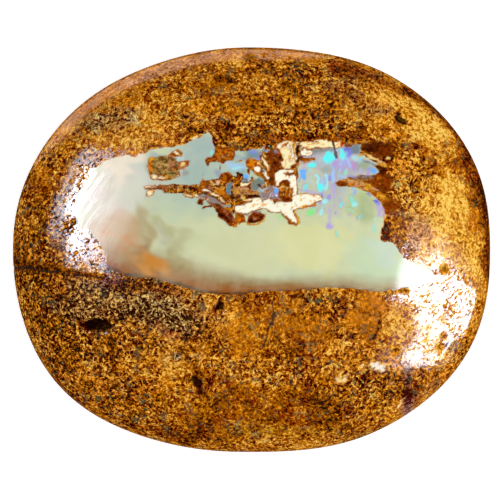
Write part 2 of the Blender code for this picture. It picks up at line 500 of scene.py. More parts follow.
# %% The brown eye and the lumps beside it
EYE = [
    (-5.75, 5.08), (-5.4, 5.12), (-5.1, 5.2), (-4.6, 5.2), (-4.2, 5.05), (-4.03, 4.82),
    (-3.97, 4.45), (-4.05, 4.12), (-4.3, 3.88), (-4.8, 3.84), (-5.3, 3.92), (-5.68, 4.15),
    (-5.75, 4.6),
]
EYE_DABS = [
    ("olive", patch(EYE), 0.05, 1.0),
    ("orange", line([(-5.58, 5.0), (-5.66, 4.6), (-5.6, 4.2)], 0.2), 0.06, 1.0),
    ("gold", oval((-5.55, 5.03), 0.16, 0.1), 0.04, 1.0),
    ("brown", line([(-5.36, 4.95), (-5.42, 4.6), (-5.3, 4.25)], 0.06), 0.06, 0.7),
    ("tan", line([(-4.98, 4.95), (-4.72, 4.6), (-4.9, 4.3)], 0.08), 0.08, 0.6),
    ("brown", line([(-5.1, 5.17), (-4.6, 5.17), (-4.25, 5.0)], 0.06), 0.05, 0.5),
    ("tan", oval((-5.1, 4.72), 0.2, 0.16), 0.06, 0.6),
    ("brown", oval((-4.98, 4.5), 0.12, 0.07, 30), 0.03, 0.7),
    ("straw", oval((-4.78, 4.72), 0.1, 0.05, -30), 0.03, 0.6),
    ("brown", line([(-5.3, 4.95), (-4.9, 5.02), (-4.6, 4.9)], 0.06), 0.03, 0.7),
    ("brown", line([(-5.2, 4.2), (-4.8, 4.12), (-4.5, 4.25)], 0.07), 0.03, 0.8),
    ("amber", line([(-5.44, 4.5), (-5.25, 4.3)], 0.08), 0.03, 0.8),
    ("rose", oval((-4.42, 4.72), 0.2, 0.3), 0.1, 0.9),
    ("amber", oval((-4.32, 4.48), 0.12, 0.12), 0.06, 0.8),
    ("amber", line([(-5.55, 4.06), (-5.0, 3.9), (-4.5, 3.92), (-4.2, 4.02)], 0.12), 0.05, 1.0),
    ("cream", oval((-5.34, 4.04), 0.16, 0.06, -10), 0.04, 1.0),
    ("white", oval((-4.97, 4.0), 0.17, 0.06), 0.04, 1.0),
    ("gold", oval((-4.7, 4.06), 0.14, 0.1), 0.05, 1.0),
    ("straw", oval((-4.4, 3.96), 0.1, 0.06), 0.04, 0.7),
    ("tan", line([(-4.2, 4.92), (-4.1, 4.6), (-4.12, 4.25), (-4.2, 4.05)], 0.1), 0.05, 0.9),
    ("brown", line([(-4.17, 4.75), (-4.14, 4.4)], 0.03), 0.03, 0.8),
    ("cream", line([(-4.02, 4.42), (-4.08, 4.18), (-4.2, 4.06)], 0.04), 0.03, 0.9),
    ("amber", patch([(-4.75, 5.18), (-4.5, 5.38), (-4.3, 5.55), (-4.0, 5.55), (-3.85, 5.35),
                     (-3.95, 5.15), (-4.3, 5.12)]), 0.05, 1.0),
    ("orange", oval((-4.2, 5.47), 0.16, 0.08), 0.04, 1.0),
    ("cream", line([(-4.26, 5.4), (-4.0, 5.25)], 0.11), 0.03, 1.0),
    ("peach", oval((-4.6, 5.22), 0.1, 0.07), 0.04, 0.8),
    ("amber", patch([(-4.02, 4.95), (-3.7, 4.92), (-3.42, 4.92), (-3.55, 4.65), (-3.75, 4.44),
                     (-3.95, 4.5)]), 0.05, 1.0),
    ("straw", oval((-3.8, 4.74), 0.12, 0.14), 0.05, 1.0),
    ("rose", oval((-3.52, 4.85), 0.1, 0.06), 0.04, 0.8),
    ("mauve", oval((-3.66, 4.26), 0.2, 0.14), 0.1, 0.6),
]

# %% The spear, a thin tongue of dark grains
SPEAR_DABS = [
    ("clear", patch([(-5.3, 3.48), (-4.8, 3.58), (-4.1, 3.64), (-3.4, 3.62), (-2.9, 3.62), (-2.6, 3.0),
                     (-3.2, 3.05), (-3.7, 3.08), (-4.3, 3.12), (-5.0, 3.3), (-5.4, 3.36)]), 0.05, 1.0),
    ("cream", line([(-5.9, 3.45), (-5.65, 3.51), (-5.35, 3.5)], 0.06, 0.03), 0.03, 1.0),
    ("brown", line([(-5.86, 3.36), (-5.4, 3.4), (-5.1, 3.42)], 0.08, 0.12), 0.03, 1.0),
    ("cream", oval((-5.6, 3.18), 0.19, 0.09, 38), 0.03, 1.0),
    ("rose", line([(-5.1, 3.5), (-4.7, 3.52)], 0.1), 0.05, 0.7),
    ("tan", oval((-4.5, 3.52), 0.12, 0.08), 0.05, 0.8),
    ("dark", oval((-4.2, 3.55), 0.14, 0.07), 0.04, 0.9),
    ("brown", line([(-4.85, 3.25), (-4.35, 3.18)], 0.1), 0.05, 0.8),
    ("tan", oval((-4.05, 3.42), 0.1, 0.08), 0.05, 0.6),
    ("black", oval((-3.68, 3.42), 0.12, 0.11), 0.04, 1.0),
    ("black", oval((-3.4, 3.4), 0.1, 0.14), 0.04, 0.9),
    ("cream", line([(-3.56, 3.44), (-3.5, 3.3)], 0.04), 0.03, 0.7),
    ("dark", line([(-4.0, 3.22), (-3.7, 3.2)], 0.12), 0.04, 0.9),
    ("black", oval((-3.44, 3.15), 0.1, 0.05), 0.03, 0.9),
    ("dark", line([(-3.12, 3.3), (-2.98, 3.45)], 0.1), 0.04, 0.9),
    ("rose", line([(-3.9, 3.6), (-3.1, 3.55)], 0.05), 0.05, 0.6),
    ("gold", oval((-3.2, 3.08), 0.14, 0.1), 0.04, 1.0),
    ("cream", line([(-3.8, 3.06), (-3.4, 3.0), (-3.3, 2.92)], 0.07), 0.03, 1.0),
    ("amber", oval((-3.17, 2.98), 0.05, 0.06), 0.03, 0.9),
    ("cream", line([(-3.05, 3.03), (-2.9, 2.92), (-2.7, 2.76)], 0.11, 0.05), 0.03, 1.0),
]

# %% The rusty patch above and the streaks under it
RUST_DABS = [
    ("amber", patch([(-2.63, 4.95), (-2.43, 5.17), (-2.12, 5.1), (-2.02, 5.33), (-2.05, 5.75),
                     (-0.95, 5.65), (-0.87, 5.24), (-1.02, 5.05), (-1.36, 4.96), (-1.44, 4.8),
                     (-1.64, 4.79), (-1.72, 4.93), (-1.95, 4.96), (-2.12, 4.88), (-2.33, 4.84),
                     (-2.37, 4.68), (-2.48, 4.73)]), 0.05, 1.0),
    ("rust", line([(-2.45, 4.95), (-2.38, 4.75)], 0.16), 0.05, 0.8),
    ("rust", line([(-2.02, 5.35), (-2.2, 5.05)], 0.12), 0.05, 0.8),
    ("orange", oval((-2.42, 5.13), 0.07, 0.05), 0.03, 0.9),
    ("tan", line([(-1.7, 5.14), (-1.35, 5.22)], 0.1), 0.06, 0.7),
    ("orange", oval((-1.5, 5.4), 0.4, 0.12), 0.1, 0.5),
    ("orange", oval((-0.59, 4.91), 0.08, 0.06), 0.04, 0.9),
    ("smoke", oval((-0.82, 4.88), 0.1, 0.05), 0.04, 0.9),
    ("brown", line([(-1.77, 4.68), (-1.74, 4.42)], 0.04), 0.03, 0.7),
    ("moss", oval((-2.67, 4.12), 0.06, 0.06), 0.04, 0.8),
]

# %% The left half of the splintered mass
LEFT_MASS_DABS = [
    ("clear", patch([(-3.0, 3.55), (-2.8, 3.75), (-2.72, 4.05), (-2.5, 3.85), (-2.1, 3.92), (-1.7, 4.1),
                     (-1.45, 4.27), (-1.2, 4.25), (-1.05, 4.1), (-0.8, 4.05), (-0.8, 4.28),
                     (-0.62, 4.28), (-0.45, 4.1), (-0.2, 3.8), (0.05, 3.88), (0.0, 2.8), (-0.9, 2.3),
                     (-1.0, 2.0), (-2.1, 2.3), (-2.3, 2.62), (-2.6, 2.7), (-2.9, 2.88)]), 0.05, 1.0),
    ("amber", oval((-2.55, 3.7), 0.28, 0.16), 0.08, 0.9),
    ("rust", oval((-2.45, 3.75), 0.14, 0.08), 0.05, 0.7),
    ("amber", oval((-2.8, 3.35), 0.2, 0.16), 0.06, 0.8),
    ("rose", oval((-2.32, 3.42), 0.22, 0.12), 0.06, 0.8),
    ("gold", oval((-2.66, 3.44), 0.07, 0.07), 0.03, 0.9),
    ("rust", line([(-2.2, 3.86), (-1.8, 3.9)], 0.1), 0.05, 0.7),
    ("straw", line([(-2.24, 3.76), (-2.16, 3.68), (-2.05, 3.6)], 0.1), 0.04, 1.0),
    ("peach", oval((-1.88, 3.71), 0.11, 0.12), 0.05, 1.0),
    ("dark", line([(-2.0, 3.55), (-1.7, 3.56)], 0.07), 0.04, 0.8),
    ("tan", line([(-1.9, 3.43), (-1.68, 3.36)], 0.07), 0.04, 0.9),
    ("gold", oval((-1.63, 3.45), 0.1, 0.09), 0.04, 0.8),
    ("gold", oval((-1.95, 3.22), 0.16, 0.1, -30), 0.05, 1.0),
    ("orange", line([(-1.85, 3.28), (-1.5, 3.1)], 0.18), 0.06, 0.9),
    ("amber", patch([(-1.6, 3.1), (-1.25, 3.0), (-1.2, 2.7), (-1.4, 2.62), (-1.65, 2.75)]), 0.06, 0.9),
    ("rust", oval((-1.38, 2.72), 0.12, 0.08), 0.04, 0.9),
    ("peach", oval((-1.24, 2.7), 0.06, 0.05), 0.03, 0.8),
    ("brown", line([(-2.15, 3.2), (-2.05, 3.12)], 0.1), 0.04, 0.8),
    ("white", line([(-2.62, 3.3), (-2.4, 3.22), (-2.18, 3.12)], 0.1, 0.06), 0.03, 1.0),
    ("cream", line([(-2.18, 3.12), (-1.98, 3.03), (-1.86, 2.97)], 0.08, 0.14), 0.03, 1.0),
    ("cream", line([(-1.73, 2.82), (-1.6, 2.72), (-1.47, 2.61)], 0.1, 0.04), 0.03, 1.0),
    ("mauve", patch([(-2.9, 3.1), (-2.7, 3.12), (-2.35, 3.0), (-2.0, 2.8), (-1.65, 2.58),
                     (-1.55, 2.5), (-2.05, 2.56), (-2.2, 2.64), (-2.6, 2.7), (-2.86, 2.9)]), 0.04, 1.0),
    ("dark", line([(-2.68, 3.16), (-2.29, 3.04), (-1.95, 2.8), (-1.6, 2.58)], 0.05, 0.06), 0.03, 0.9),
    ("rose", oval((-2.54, 2.92), 0.16, 0.08, -20), 0.05, 0.7),
    ("peach", oval((-2.52, 2.73), 0.05, 0.04), 0.03, 0.9),
    ("cream", oval((-2.42, 2.74), 0.05, 0.05), 0.03, 0.8),
    ("brown", line([(-2.38, 2.64), (-2.12, 2.57), (-1.98, 2.48)], 0.05), 0.03, 0.9),
    ("rust", oval((-2.83, 2.66), 0.12, 0.16, 20), 0.04, 1.0),
    ("brown", line([(-2.98, 2.6), (-2.7, 2.48)], 0.07), 0.04, 0.8),
    ("rust", line([(-2.7, 2.3), (-2.25, 2.46)], 0.13), 0.04, 1.0),
    ("tan", oval((-2.18, 2.52), 0.08, 0.05), 0.04, 0.7),
    ("mauve", oval((-1.53, 2.42), 0.12, 0.08), 0.05, 0.9),
    ("smoke", oval((-1.27, 2.4), 0.14, 0.09), 0.05, 1.0),
    ("brown", line([(-1.95, 2.5), (-1.8, 2.38), (-1.6, 2.3)], 0.14), 0.05, 0.9),
    ("rose", line([(-1.95, 2.25), (-1.6, 2.2), (-1.2, 2.15)], 0.12), 0.06, 0.8),
    ("rust", oval((-1.36, 4.03), 0.3, 0.3), 0.05, 1.0),
    ("orange", line([(-1.55, 4.18), (-1.33, 4.3), (-1.12, 4.18)], 0.06), 0.04, 0.9),
    ("amber", oval((-1.5, 3.95), 0.14, 0.2), 0.07, 0.7),
    ("gold", oval((-1.03, 3.97), 0.07, 0.08), 0.04, 0.9),
    ("amber", oval((-0.88, 3.88), 0.16, 0.1), 0.05, 0.9),
    ("dark", line([(-1.12, 3.78), (-0.98, 3.82)], 0.08), 0.04, 0.8),
    ("slate", patch([(-1.32, 3.68), (-1.04, 3.76), (-1.08, 3.5), (-1.2, 3.25), (-1.2, 3.05),
                     (-1.35, 3.05), (-1.42, 3.35)]), 0.05, 1.0),
    ("sea", oval((-1.28, 3.42), 0.08, 0.14), 0.05, 0.8),
]

# %% The middle: dark leaves, cream flakes and the blue window
MIDDLE_DABS = [
    ("dark", line([(-0.75, 4.24), (-0.5, 4.1)], 0.2, 0.16), 0.04, 1.0),
    ("rust", oval((-0.68, 4.02), 0.12, 0.08), 0.04, 0.9),
    ("azure", oval((-0.32, 4.05), 0.12, 0.19, 25), 0.04, 1.0),
    ("slate", oval((-0.36, 3.86), 0.12, 0.06), 0.04, 0.9),
    ("rust", oval((-0.16, 4.33), 0.09, 0.12), 0.04, 1.0),
    ("brown", oval((0.03, 3.98), 0.1, 0.08), 0.04, 0.8),
    ("cream", patch([(-0.66, 3.74), (-0.53, 3.8), (-0.39, 3.7), (-0.2, 3.72), (0.06, 3.88),
                     (-0.12, 3.66), (-0.22, 3.54), (-0.45, 3.5), (-0.66, 3.56)]), 0.03, 1.0),
    ("tan", patch([(-1.02, 3.5), (-0.7, 3.45), (-0.1, 3.35), (0.35, 3.25), (0.5, 3.05), (0.0, 3.1),
                   (-0.6, 3.0), (-1.02, 3.05)]), 0.06, 0.8),
    ("gold", line([(-0.98, 3.3), (-0.7, 3.2)], 0.12), 0.05, 0.8),
    ("dark", oval((-0.8, 3.58), 0.13, 0.08, 30), 0.04, 1.0),
    ("dark", oval((-1.04, 3.44), 0.06, 0.08), 0.04, 0.9),
    ("brown", line([(-0.55, 3.12), (-0.3, 3.18)], 0.08), 0.04, 0.8),
    ("peach", line([(-0.6, 3.42), (-0.2, 3.38)], 0.08), 0.05, 0.6),
    ("orange", oval((-0.1, 3.28), 0.16, 0.06), 0.05, 0.7),
    ("brown", line([(-0.95, 2.95), (-0.5, 2.98)], 0.06), 0.04, 0.7),
    ("black", line([(-1.12, 2.86), (-1.02, 2.93), (-0.88, 2.84)], 0.05), 0.03, 0.9),
    ("tan", oval((-0.96, 2.76), 0.08, 0.08), 0.03, 0.9),
    ("straw", oval((-0.5, 2.9), 0.14, 0.05), 0.04, 0.9),
    ("black", line([(-0.76, 2.79), (-0.58, 2.77)], 0.07), 0.03, 0.9),
    ("cream", line([(-0.5, 2.72), (-0.1, 2.8), (0.3, 2.86)], 0.08, 0.12), 0.03, 1.0),
    ("dark", patch([(-0.3, 2.9), (-0.08, 3.08), (0.15, 3.1), (0.48, 2.98), (0.46, 2.9),
                    (0.1, 2.88)]), 0.04, 1.0),
    ("rust", line([(-0.05, 2.9), (0.35, 2.92)], 0.06), 0.04, 0.7),
    ("amber", line([(-0.8, 2.56), (-0.4, 2.58), (0.0, 2.62)], 0.14, 0.04), 0.04, 1.0),
    ("brown", line([(-0.75, 2.63), (-0.3, 2.62), (0.02, 2.64)], 0.04, 0.03), 0.03, 0.8),
    ("smoke", patch([(0.02, 3.7), (0.15, 3.9), (0.45, 3.97), (0.68, 3.8), (0.66, 3.62), (0.42, 3.5),
                     (0.3, 3.28), (0.1, 3.32), (0.0, 3.5)]), 0.05, 1.0),
    ("sea", oval((0.44, 3.84), 0.1, 0.08), 0.05, 1.0),
    ("slate", oval((0.5, 3.67), 0.1, 0.06), 0.04, 0.9),
    ("dark", oval((0.42, 3.55), 0.1, 0.06, -20), 0.04, 1.0),
    ("rust", line([(0.55, 3.45), (0.95, 3.62)], 0.1), 0.05, 0.9),
    ("peach", oval((0.63, 3.51), 0.06, 0.05), 0.03, 0.9),
    ("cream", line([(0.75, 3.76), (0.86, 3.58)], 0.1), 0.03, 1.0),
    ("mauve", patch([(0.5, 3.2), (0.72, 3.2), (0.98, 3.52), (1.1, 3.6), (1.25, 3.45), (1.5, 3.42),
                     (1.56, 3.15), (1.5, 2.92), (1.3, 2.84), (0.9, 2.82), (0.62, 2.88)]), 0.05, 1.0),
    ("tan", oval((0.86, 3.27), 0.12, 0.1), 0.05, 0.8),
    ("sky", line([(0.5, 3.33), (0.66, 3.31)], 0.05), 0.03, 1.0),
    ("pink", oval((1.3, 3.5), 0.12, 0.06), 0.04, 0.6),
    ("azure", oval((1.36, 3.27), 0.12, 0.15), 0.04, 1.0),
    ("lilac", oval((1.34, 3.1), 0.1, 0.06), 0.04, 0.8),
]

# %% The orange lobe with its white bean, and the strokes beside it
LOBE_DABS = [
    ("slate", patch([(-0.5, 5.45), (0.0, 5.58), (0.45, 5.55), (0.5, 5.1), (0.1, 5.0),
                     (-0.4, 5.1)]), 0.1, 0.4),
    ("blue", oval((0.12, 5.42), 0.22, 0.1), 0.08, 0.7),
    ("sea", oval((0.0, 5.2), 0.3, 0.12), 0.08, 0.5),
    ("violet", oval((0.42, 5.06), 0.09, 0.08), 0.04, 0.9),
    ("clear", patch([(0.45, 5.4), (0.7, 5.72), (1.4, 5.85), (2.5, 5.9), (2.7, 5.55), (2.6, 4.6),
                     (2.6, 4.1), (2.3, 2.95), (1.55, 2.9), (1.5, 3.45), (1.2, 3.62), (0.95, 3.6),
                     (0.7, 3.85), (0.3, 4.15), (-0.12, 4.55), (-0.3, 4.9), (-0.1, 5.03), (0.3, 4.95),
                     (0.5, 4.8), (0.45, 5.1)]), 0.04, 1.0),
    ("rust", patch([(0.9, 5.4), (1.5, 5.5), (1.6, 4.6), (1.3, 4.2), (1.28, 3.6), (0.95, 3.65),
                    (0.9, 4.4)]), 0.08, 0.8),
    ("sea", oval((0.68, 5.53), 0.12, 0.09), 0.04, 1.0),
    ("indigo", oval((0.85, 5.46), 0.1, 0.06), 0.04, 0.8),
    ("peach", oval((0.9, 5.57), 0.08, 0.04), 0.03, 0.8),
    ("mauve", oval((0.5, 5.35), 0.1, 0.1), 0.05, 0.8),
    ("indigo", oval((1.36, 5.38), 0.11, 0.1), 0.04, 0.5),
    ("orange", oval((1.54, 5.36), 0.08, 0.14), 0.04, 0.9),
    ("dark", oval((1.33, 4.74), 0.12, 0.16), 0.05, 0.9),
    ("brown", oval((1.1, 3.85), 0.1, 0.3), 0.06, 0.8),
    ("orange", patch([(-0.3, 4.93), (-0.1, 5.03), (0.15, 4.98), (0.4, 4.88), (0.56, 4.66),
                      (0.6, 4.3), (0.3, 4.22), (0.0, 4.45), (-0.2, 4.65)]), 0.05, 1.0),
    ("amber", line([(-0.28, 4.85), (-0.1, 4.55), (0.1, 4.35)], 0.08), 0.04, 0.8),
    ("tan", oval((-0.14, 5.03), 0.12, 0.05), 0.04, 0.7),
    ("straw", line([(0.34, 4.84), (0.46, 4.8), (0.55, 4.66)], 0.06), 0.03, 0.8),
    ("amber", oval((0.28, 4.74), 0.05, 0.05), 0.03, 0.9),
    ("white", oval((0.33, 4.48), 0.21, 0.14, -32), 0.03, 1.0),
    ("gold", line([(0.2, 4.22), (0.52, 4.08)], 0.07), 0.04, 0.9),
    ("brown", line([(0.6, 4.75), (0.56, 4.4)], 0.06), 0.04, 0.8),
    ("amber", line([(0.62, 5.35), (0.85, 5.1), (1.0, 4.7)], 0.16), 0.05, 0.9),
    ("straw", line([(0.64, 5.3), (0.78, 5.14)], 0.08), 0.03, 1.0),
    ("black", line([(0.58, 4.95), (0.7, 4.75), (0.84, 4.6)], 0.05), 0.03, 0.8),
    ("cream", line([(0.58, 5.12), (0.72, 4.88), (0.84, 4.72), (0.95, 4.5)], 0.07, 0.15), 0.03, 1.0),
    ("orange", line([(0.95, 4.6), (0.98, 4.25)], 0.12), 0.05, 0.8),
    ("straw", line([(0.6, 4.6), (0.66, 4.42)], 0.09), 0.03, 1.0),
    ("white", line([(0.66, 4.4), (0.75, 4.18), (0.92, 3.98)], 0.11, 0.15), 0.03, 1.0),
    ("brown", line([(0.56, 4.2), (0.7, 3.96), (0.9, 3.86)], 0.06), 0.03, 0.8),
    ("sea", oval((0.42, 3.96), 0.06, 0.05), 0.03, 0.9),
]

# %% The cream tower, the white hook and the ledge
TOWER_DABS = [
    ("cream", patch([(1.32, 5.7), (1.45, 5.82), (1.65, 5.93), (1.95, 6.05), (2.15, 6.0), (2.4, 5.95),
                     (2.5, 5.8), (2.5, 5.5), (2.42, 5.2), (2.42, 4.92), (2.5, 4.76), (2.3, 4.74),
                     (2.22, 4.6), (2.08, 4.53), (1.9, 4.53), (1.65, 4.65), (1.62, 4.85),
                     (1.74, 5.02), (1.68, 5.25), (1.58, 5.55)]), 0.04, 1.0),
    ("white", patch([(1.36, 5.7), (1.6, 5.88), (1.75, 5.88), (1.7, 5.7), (1.45, 5.64)]), 0.03, 1.0),
    ("white", line([(2.2, 5.7), (2.28, 5.3), (2.22, 4.95)], 0.12), 0.04, 0.9),
    ("white", line([(1.98, 5.85), (2.05, 5.6)], 0.1), 0.04, 0.9),
    ("amber", line([(1.72, 5.72), (1.84, 5.82), (1.98, 5.93)], 0.08), 0.03, 1.0),
    ("gold", line([(2.36, 5.88), (2.4, 5.6), (2.38, 5.35)], 0.12), 0.04, 1.0),
    ("amber", line([(2.32, 5.85), (2.34, 5.6)], 0.04), 0.03, 0.9),
    ("smoke", oval((2.12, 5.76), 0.04, 0.1), 0.03, 0.6),
    ("tan", line([(2.2, 5.55), (2.14, 5.42)], 0.08), 0.04, 0.9),
    ("gold", line([(2.08, 5.22), (2.1, 5.08)], 0.08), 0.04, 0.8),
    ("gold", oval((1.78, 5.22), 0.07, 0.05), 0.04, 0.7),
    ("gold", line([(1.88, 4.98), (1.9, 4.7)], 0.1), 0.05, 0.8),
    ("rust", oval((1.62, 4.98), 0.1, 0.07, -30), 0.03, 0.9),
    ("dark", line([(2.6, 5.75), (2.52, 5.3), (2.55, 4.85)], 0.14, 0.12), 0.05, 1.0),
    ("white", line([(2.42, 5.24), (2.46, 5.06)], 0.08), 0.03, 1.0),
    ("dark", oval((2.75, 5.05), 0.14, 0.1), 0.05, 0.8),
    ("amber", line([(2.75, 4.98), (3.1, 5.0), (3.45, 5.02)], 0.12), 0.04, 1.0),
    ("tan", line([(2.5, 4.62), (2.72, 4.76), (3.0, 4.9), (3.3, 4.95)], 0.11, 0.06), 0.04, 1.0),
    ("peach", line([(2.62, 4.72), (2.85, 4.84)], 0.06), 0.03, 0.7),
    ("rust", oval((2.3, 4.6), 0.16, 0.08, 10), 0.04, 1.0),
    ("moss", oval((2.62, 4.48), 0.1, 0.06), 0.04, 0.9),
    ("amber", line([(2.5, 4.4), (2.52, 4.0)], 0.12), 0.05, 0.9),
    ("white", patch([(1.3, 4.1), (1.34, 4.26), (1.48, 4.36), (1.66, 4.44), (1.95, 4.46), (2.28, 4.44),
                     (2.32, 4.37), (2.15, 4.28), (1.95, 4.25), (1.85, 4.12), (2.1, 4.05),
                     (2.3, 4.12), (2.46, 4.02), (2.46, 3.85), (2.5, 3.6), (2.5, 3.3), (2.42, 3.02),
                     (2.3, 2.95), (2.26, 3.4), (2.12, 3.5), (2.14, 3.78), (1.95, 3.88), (1.7, 3.86),
                     (1.5, 3.62), (1.34, 3.62), (1.28, 3.9)]), 0.03, 1.0),
    ("brown", oval((1.85, 4.22), 0.08, 0.05), 0.03, 0.9),
    ("brown", line([(2.06, 4.17), (2.32, 4.27)], 0.07), 0.03, 1.0),
    ("rust", line([(1.6, 3.68), (1.85, 3.76), (2.1, 3.72)], 0.1, 0.14), 0.04, 1.0),
    ("amber", patch([(1.5, 3.5), (1.9, 3.6), (2.1, 3.5), (2.3, 3.45), (2.3, 2.75), (1.8, 2.68),
                     (1.55, 2.9)]), 0.05, 1.0),
    ("straw", line([(1.55, 3.45), (1.8, 3.5), (2.0, 3.4)], 0.08), 0.04, 0.9),
    ("straw", line([(1.6, 3.34), (1.72, 3.2), (1.8, 3.05)], 0.08), 0.03, 0.9),
    ("straw", line([(1.95, 3.35), (1.9, 3.1)], 0.06), 0.03, 0.8),
    ("dark", oval((1.75, 3.17), 0.04, 0.05), 0.02, 0.9),
    ("brown", line([(2.05, 3.35), (2.1, 3.1)], 0.08), 0.04, 0.9),
    ("gold", line([(2.18, 3.4), (2.2, 3.0)], 0.06), 0.04, 0.7),
    ("peach", oval((2.13, 3.1), 0.05, 0.05), 0.03, 0.9),
    ("rust", patch([(1.6, 2.95), (1.9, 2.9), (2.28, 2.84), (2.26, 2.68), (1.9, 2.66)]), 0.05, 1.0),
    ("orange", line([(0.85, 2.82), (1.2, 2.78), (1.6, 2.76)], 0.08, 0.1), 0.04, 0.9),
    ("peach", oval((1.56, 2.85), 0.07, 0.05), 0.03, 0.9),
    ("cream", patch([(2.6, 5.92), (3.1, 5.98), (3.6, 6.05), (4.2, 6.08), (4.25, 5.98), (4.5, 5.98),
                     (4.55, 5.72), (4.1, 5.7), (3.6, 5.66), (3.1, 5.62), (2.75, 5.68)]), 0.03, 1.0),
    ("orange", line([(2.8, 5.98), (3.2, 5.97)], 0.06), 0.03, 0.8),
    ("gold", line([(3.1, 5.84), (3.6, 5.9), (4.0, 5.88)], 0.07), 0.04, 0.9),
    ("amber", line([(3.35, 5.97), (3.7, 5.98)], 0.07), 0.03, 0.8),
    ("cream", patch([(4.6, 5.98), (4.95, 5.98), (4.95, 5.7), (4.66, 5.7)]), 0.03, 1.0),
    ("ember", oval((5.03, 5.87), 0.13, 0.11), 0.03, 1.0),
    ("rose", oval((5.38, 5.8), 0.24, 0.08, -8), 0.05, 1.0),
    ("dark", line([(4.56, 5.98), (4.62, 5.72)], 0.06), 0.03, 1.0),
    ("white", patch([(2.7, 5.33), (2.76, 5.5), (2.95, 5.56), (3.3, 5.53), (3.33, 5.3), (3.1, 5.22),
                     (2.8, 5.22)]), 0.03, 1.0),
    ("olive", oval((3.08, 5.37), 0.05, 0.05), 0.03, 0.8),
]

# %% The white bar with its leg, and the dark leaves that hang from it
BAR_DABS = [
    ("rust", patch([(-2.02, 2.3), (-1.75, 2.32), (-1.4, 2.2), (-1.05, 1.95), (-0.95, 1.45),
                    (-1.15, 1.32), (-1.45, 1.5), (-1.8, 1.78)]), 0.05, 1.0),
    ("dark", line([(-1.85, 2.08), (-1.5, 1.85), (-1.25, 1.55)], 0.2, 0.16), 0.05, 0.9),
    ("rose", line([(-1.5, 2.15), (-1.2, 1.85), (-1.05, 1.6)], 0.09), 0.04, 0.8),
    ("orange", oval((-0.92, 1.42), 0.14, 0.18), 0.05, 1.0),
    ("amber", patch([(-0.95, 2.0), (-0.4, 2.0), (-0.35, 1.55), (-0.7, 1.42), (-0.9, 1.6)]), 0.05, 0.9),
    ("orange", oval((-0.58, 1.66), 0.17, 0.16), 0.05, 1.0),
    ("gold", oval((-0.62, 1.5), 0.1, 0.06), 0.04, 0.8),
    ("smoke", oval((-0.3, 1.93), 0.16, 0.07), 0.05, 0.9),
    ("gold", line([(-0.3, 1.42), (0.05, 1.36), (0.35, 1.4), (0.66, 1.62), (0.76, 1.95)], 0.1,
                  0.07), 0.04, 1.0),
    ("rust", patch([(-0.3, 1.5), (-0.1, 1.95), (0.2, 2.14), (0.5, 2.12), (0.68, 1.92), (0.62, 1.7),
                    (0.4, 1.52), (0.1, 1.44)]), 0.04, 1.0),
    ("dark", patch([(-0.22, 1.55), (0.0, 1.85), (0.2, 1.6), (0.6, 1.9), (0.5, 1.6),
                    (0.1, 1.46)]), 0.05, 0.9),
    ("rose", oval((0.18, 1.72), 0.08, 0.1), 0.04, 0.8),
    ("mauve", line([(0.1, 2.08), (0.5, 2.12)], 0.08), 0.04, 0.8),
    ("gold", line([(2.35, 2.15), (2.6, 1.76), (2.68, 1.5), (2.55, 1.42)], 0.1, 0.08), 0.04, 1.0),
    ("amber", line([(1.66, 1.98), (1.92, 1.7), (2.15, 1.48), (2.45, 1.38)], 0.08, 0.1), 0.04, 1.0),
    ("dark", line([(-0.5, 2.02), (-0.2, 2.04), (0.1, 2.14), (0.55, 2.26)], 0.06), 0.03, 0.8),
    ("white", patch([(-0.95, 2.28), (-0.88, 2.4), (-0.45, 2.46), (-0.22, 2.54), (0.0, 2.66),
                     (0.06, 2.82), (0.48, 2.86), (0.56, 2.7), (0.66, 2.64), (0.72, 2.73),
                     (0.9, 2.78), (1.15, 2.75), (1.3, 2.62), (1.45, 2.68), (1.62, 2.7),
                     (1.82, 2.62), (2.25, 2.64), (2.32, 2.92), (2.45, 3.04), (2.7, 3.12),
                     (3.05, 3.1), (3.4, 2.98), (3.65, 2.98), (3.82, 2.92), (3.87, 2.82),
                     (3.8, 2.72), (3.55, 2.64), (3.3, 2.58), (3.05, 2.42), (2.75, 2.36),
                     (2.5, 2.3), (2.42, 2.24), (2.28, 2.2), (2.3, 2.04), (2.46, 1.8), (2.53, 1.62),
                     (2.46, 1.52), (2.3, 1.54), (2.08, 1.68), (1.9, 1.88), (1.74, 2.03),
                     (1.56, 2.12), (1.26, 2.14), (0.92, 2.18), (0.7, 2.28), (0.5, 2.28),
                     (0.25, 2.2), (0.0, 2.1), (-0.25, 2.04), (-0.6, 2.02), (-0.88, 2.08)]), 0.03, 1.0),
    ("gold", line([(2.65, 3.1), (3.0, 3.1), (3.35, 3.02), (3.6, 3.0)], 0.05, 0.07), 0.04, 0.9),
    ("orange", line([(2.9, 2.34), (3.2, 2.44), (3.5, 2.5)], 0.07, 0.18), 0.03, 1.0),
    ("brown", oval((2.47, 2.5), 0.03, 0.06), 0.02, 0.8),
    ("brown", oval((2.18, 2.26), 0.05, 0.05), 0.03, 0.7),
    ("rose", oval((1.6, 2.12), 0.06, 0.05), 0.03, 0.8),
]

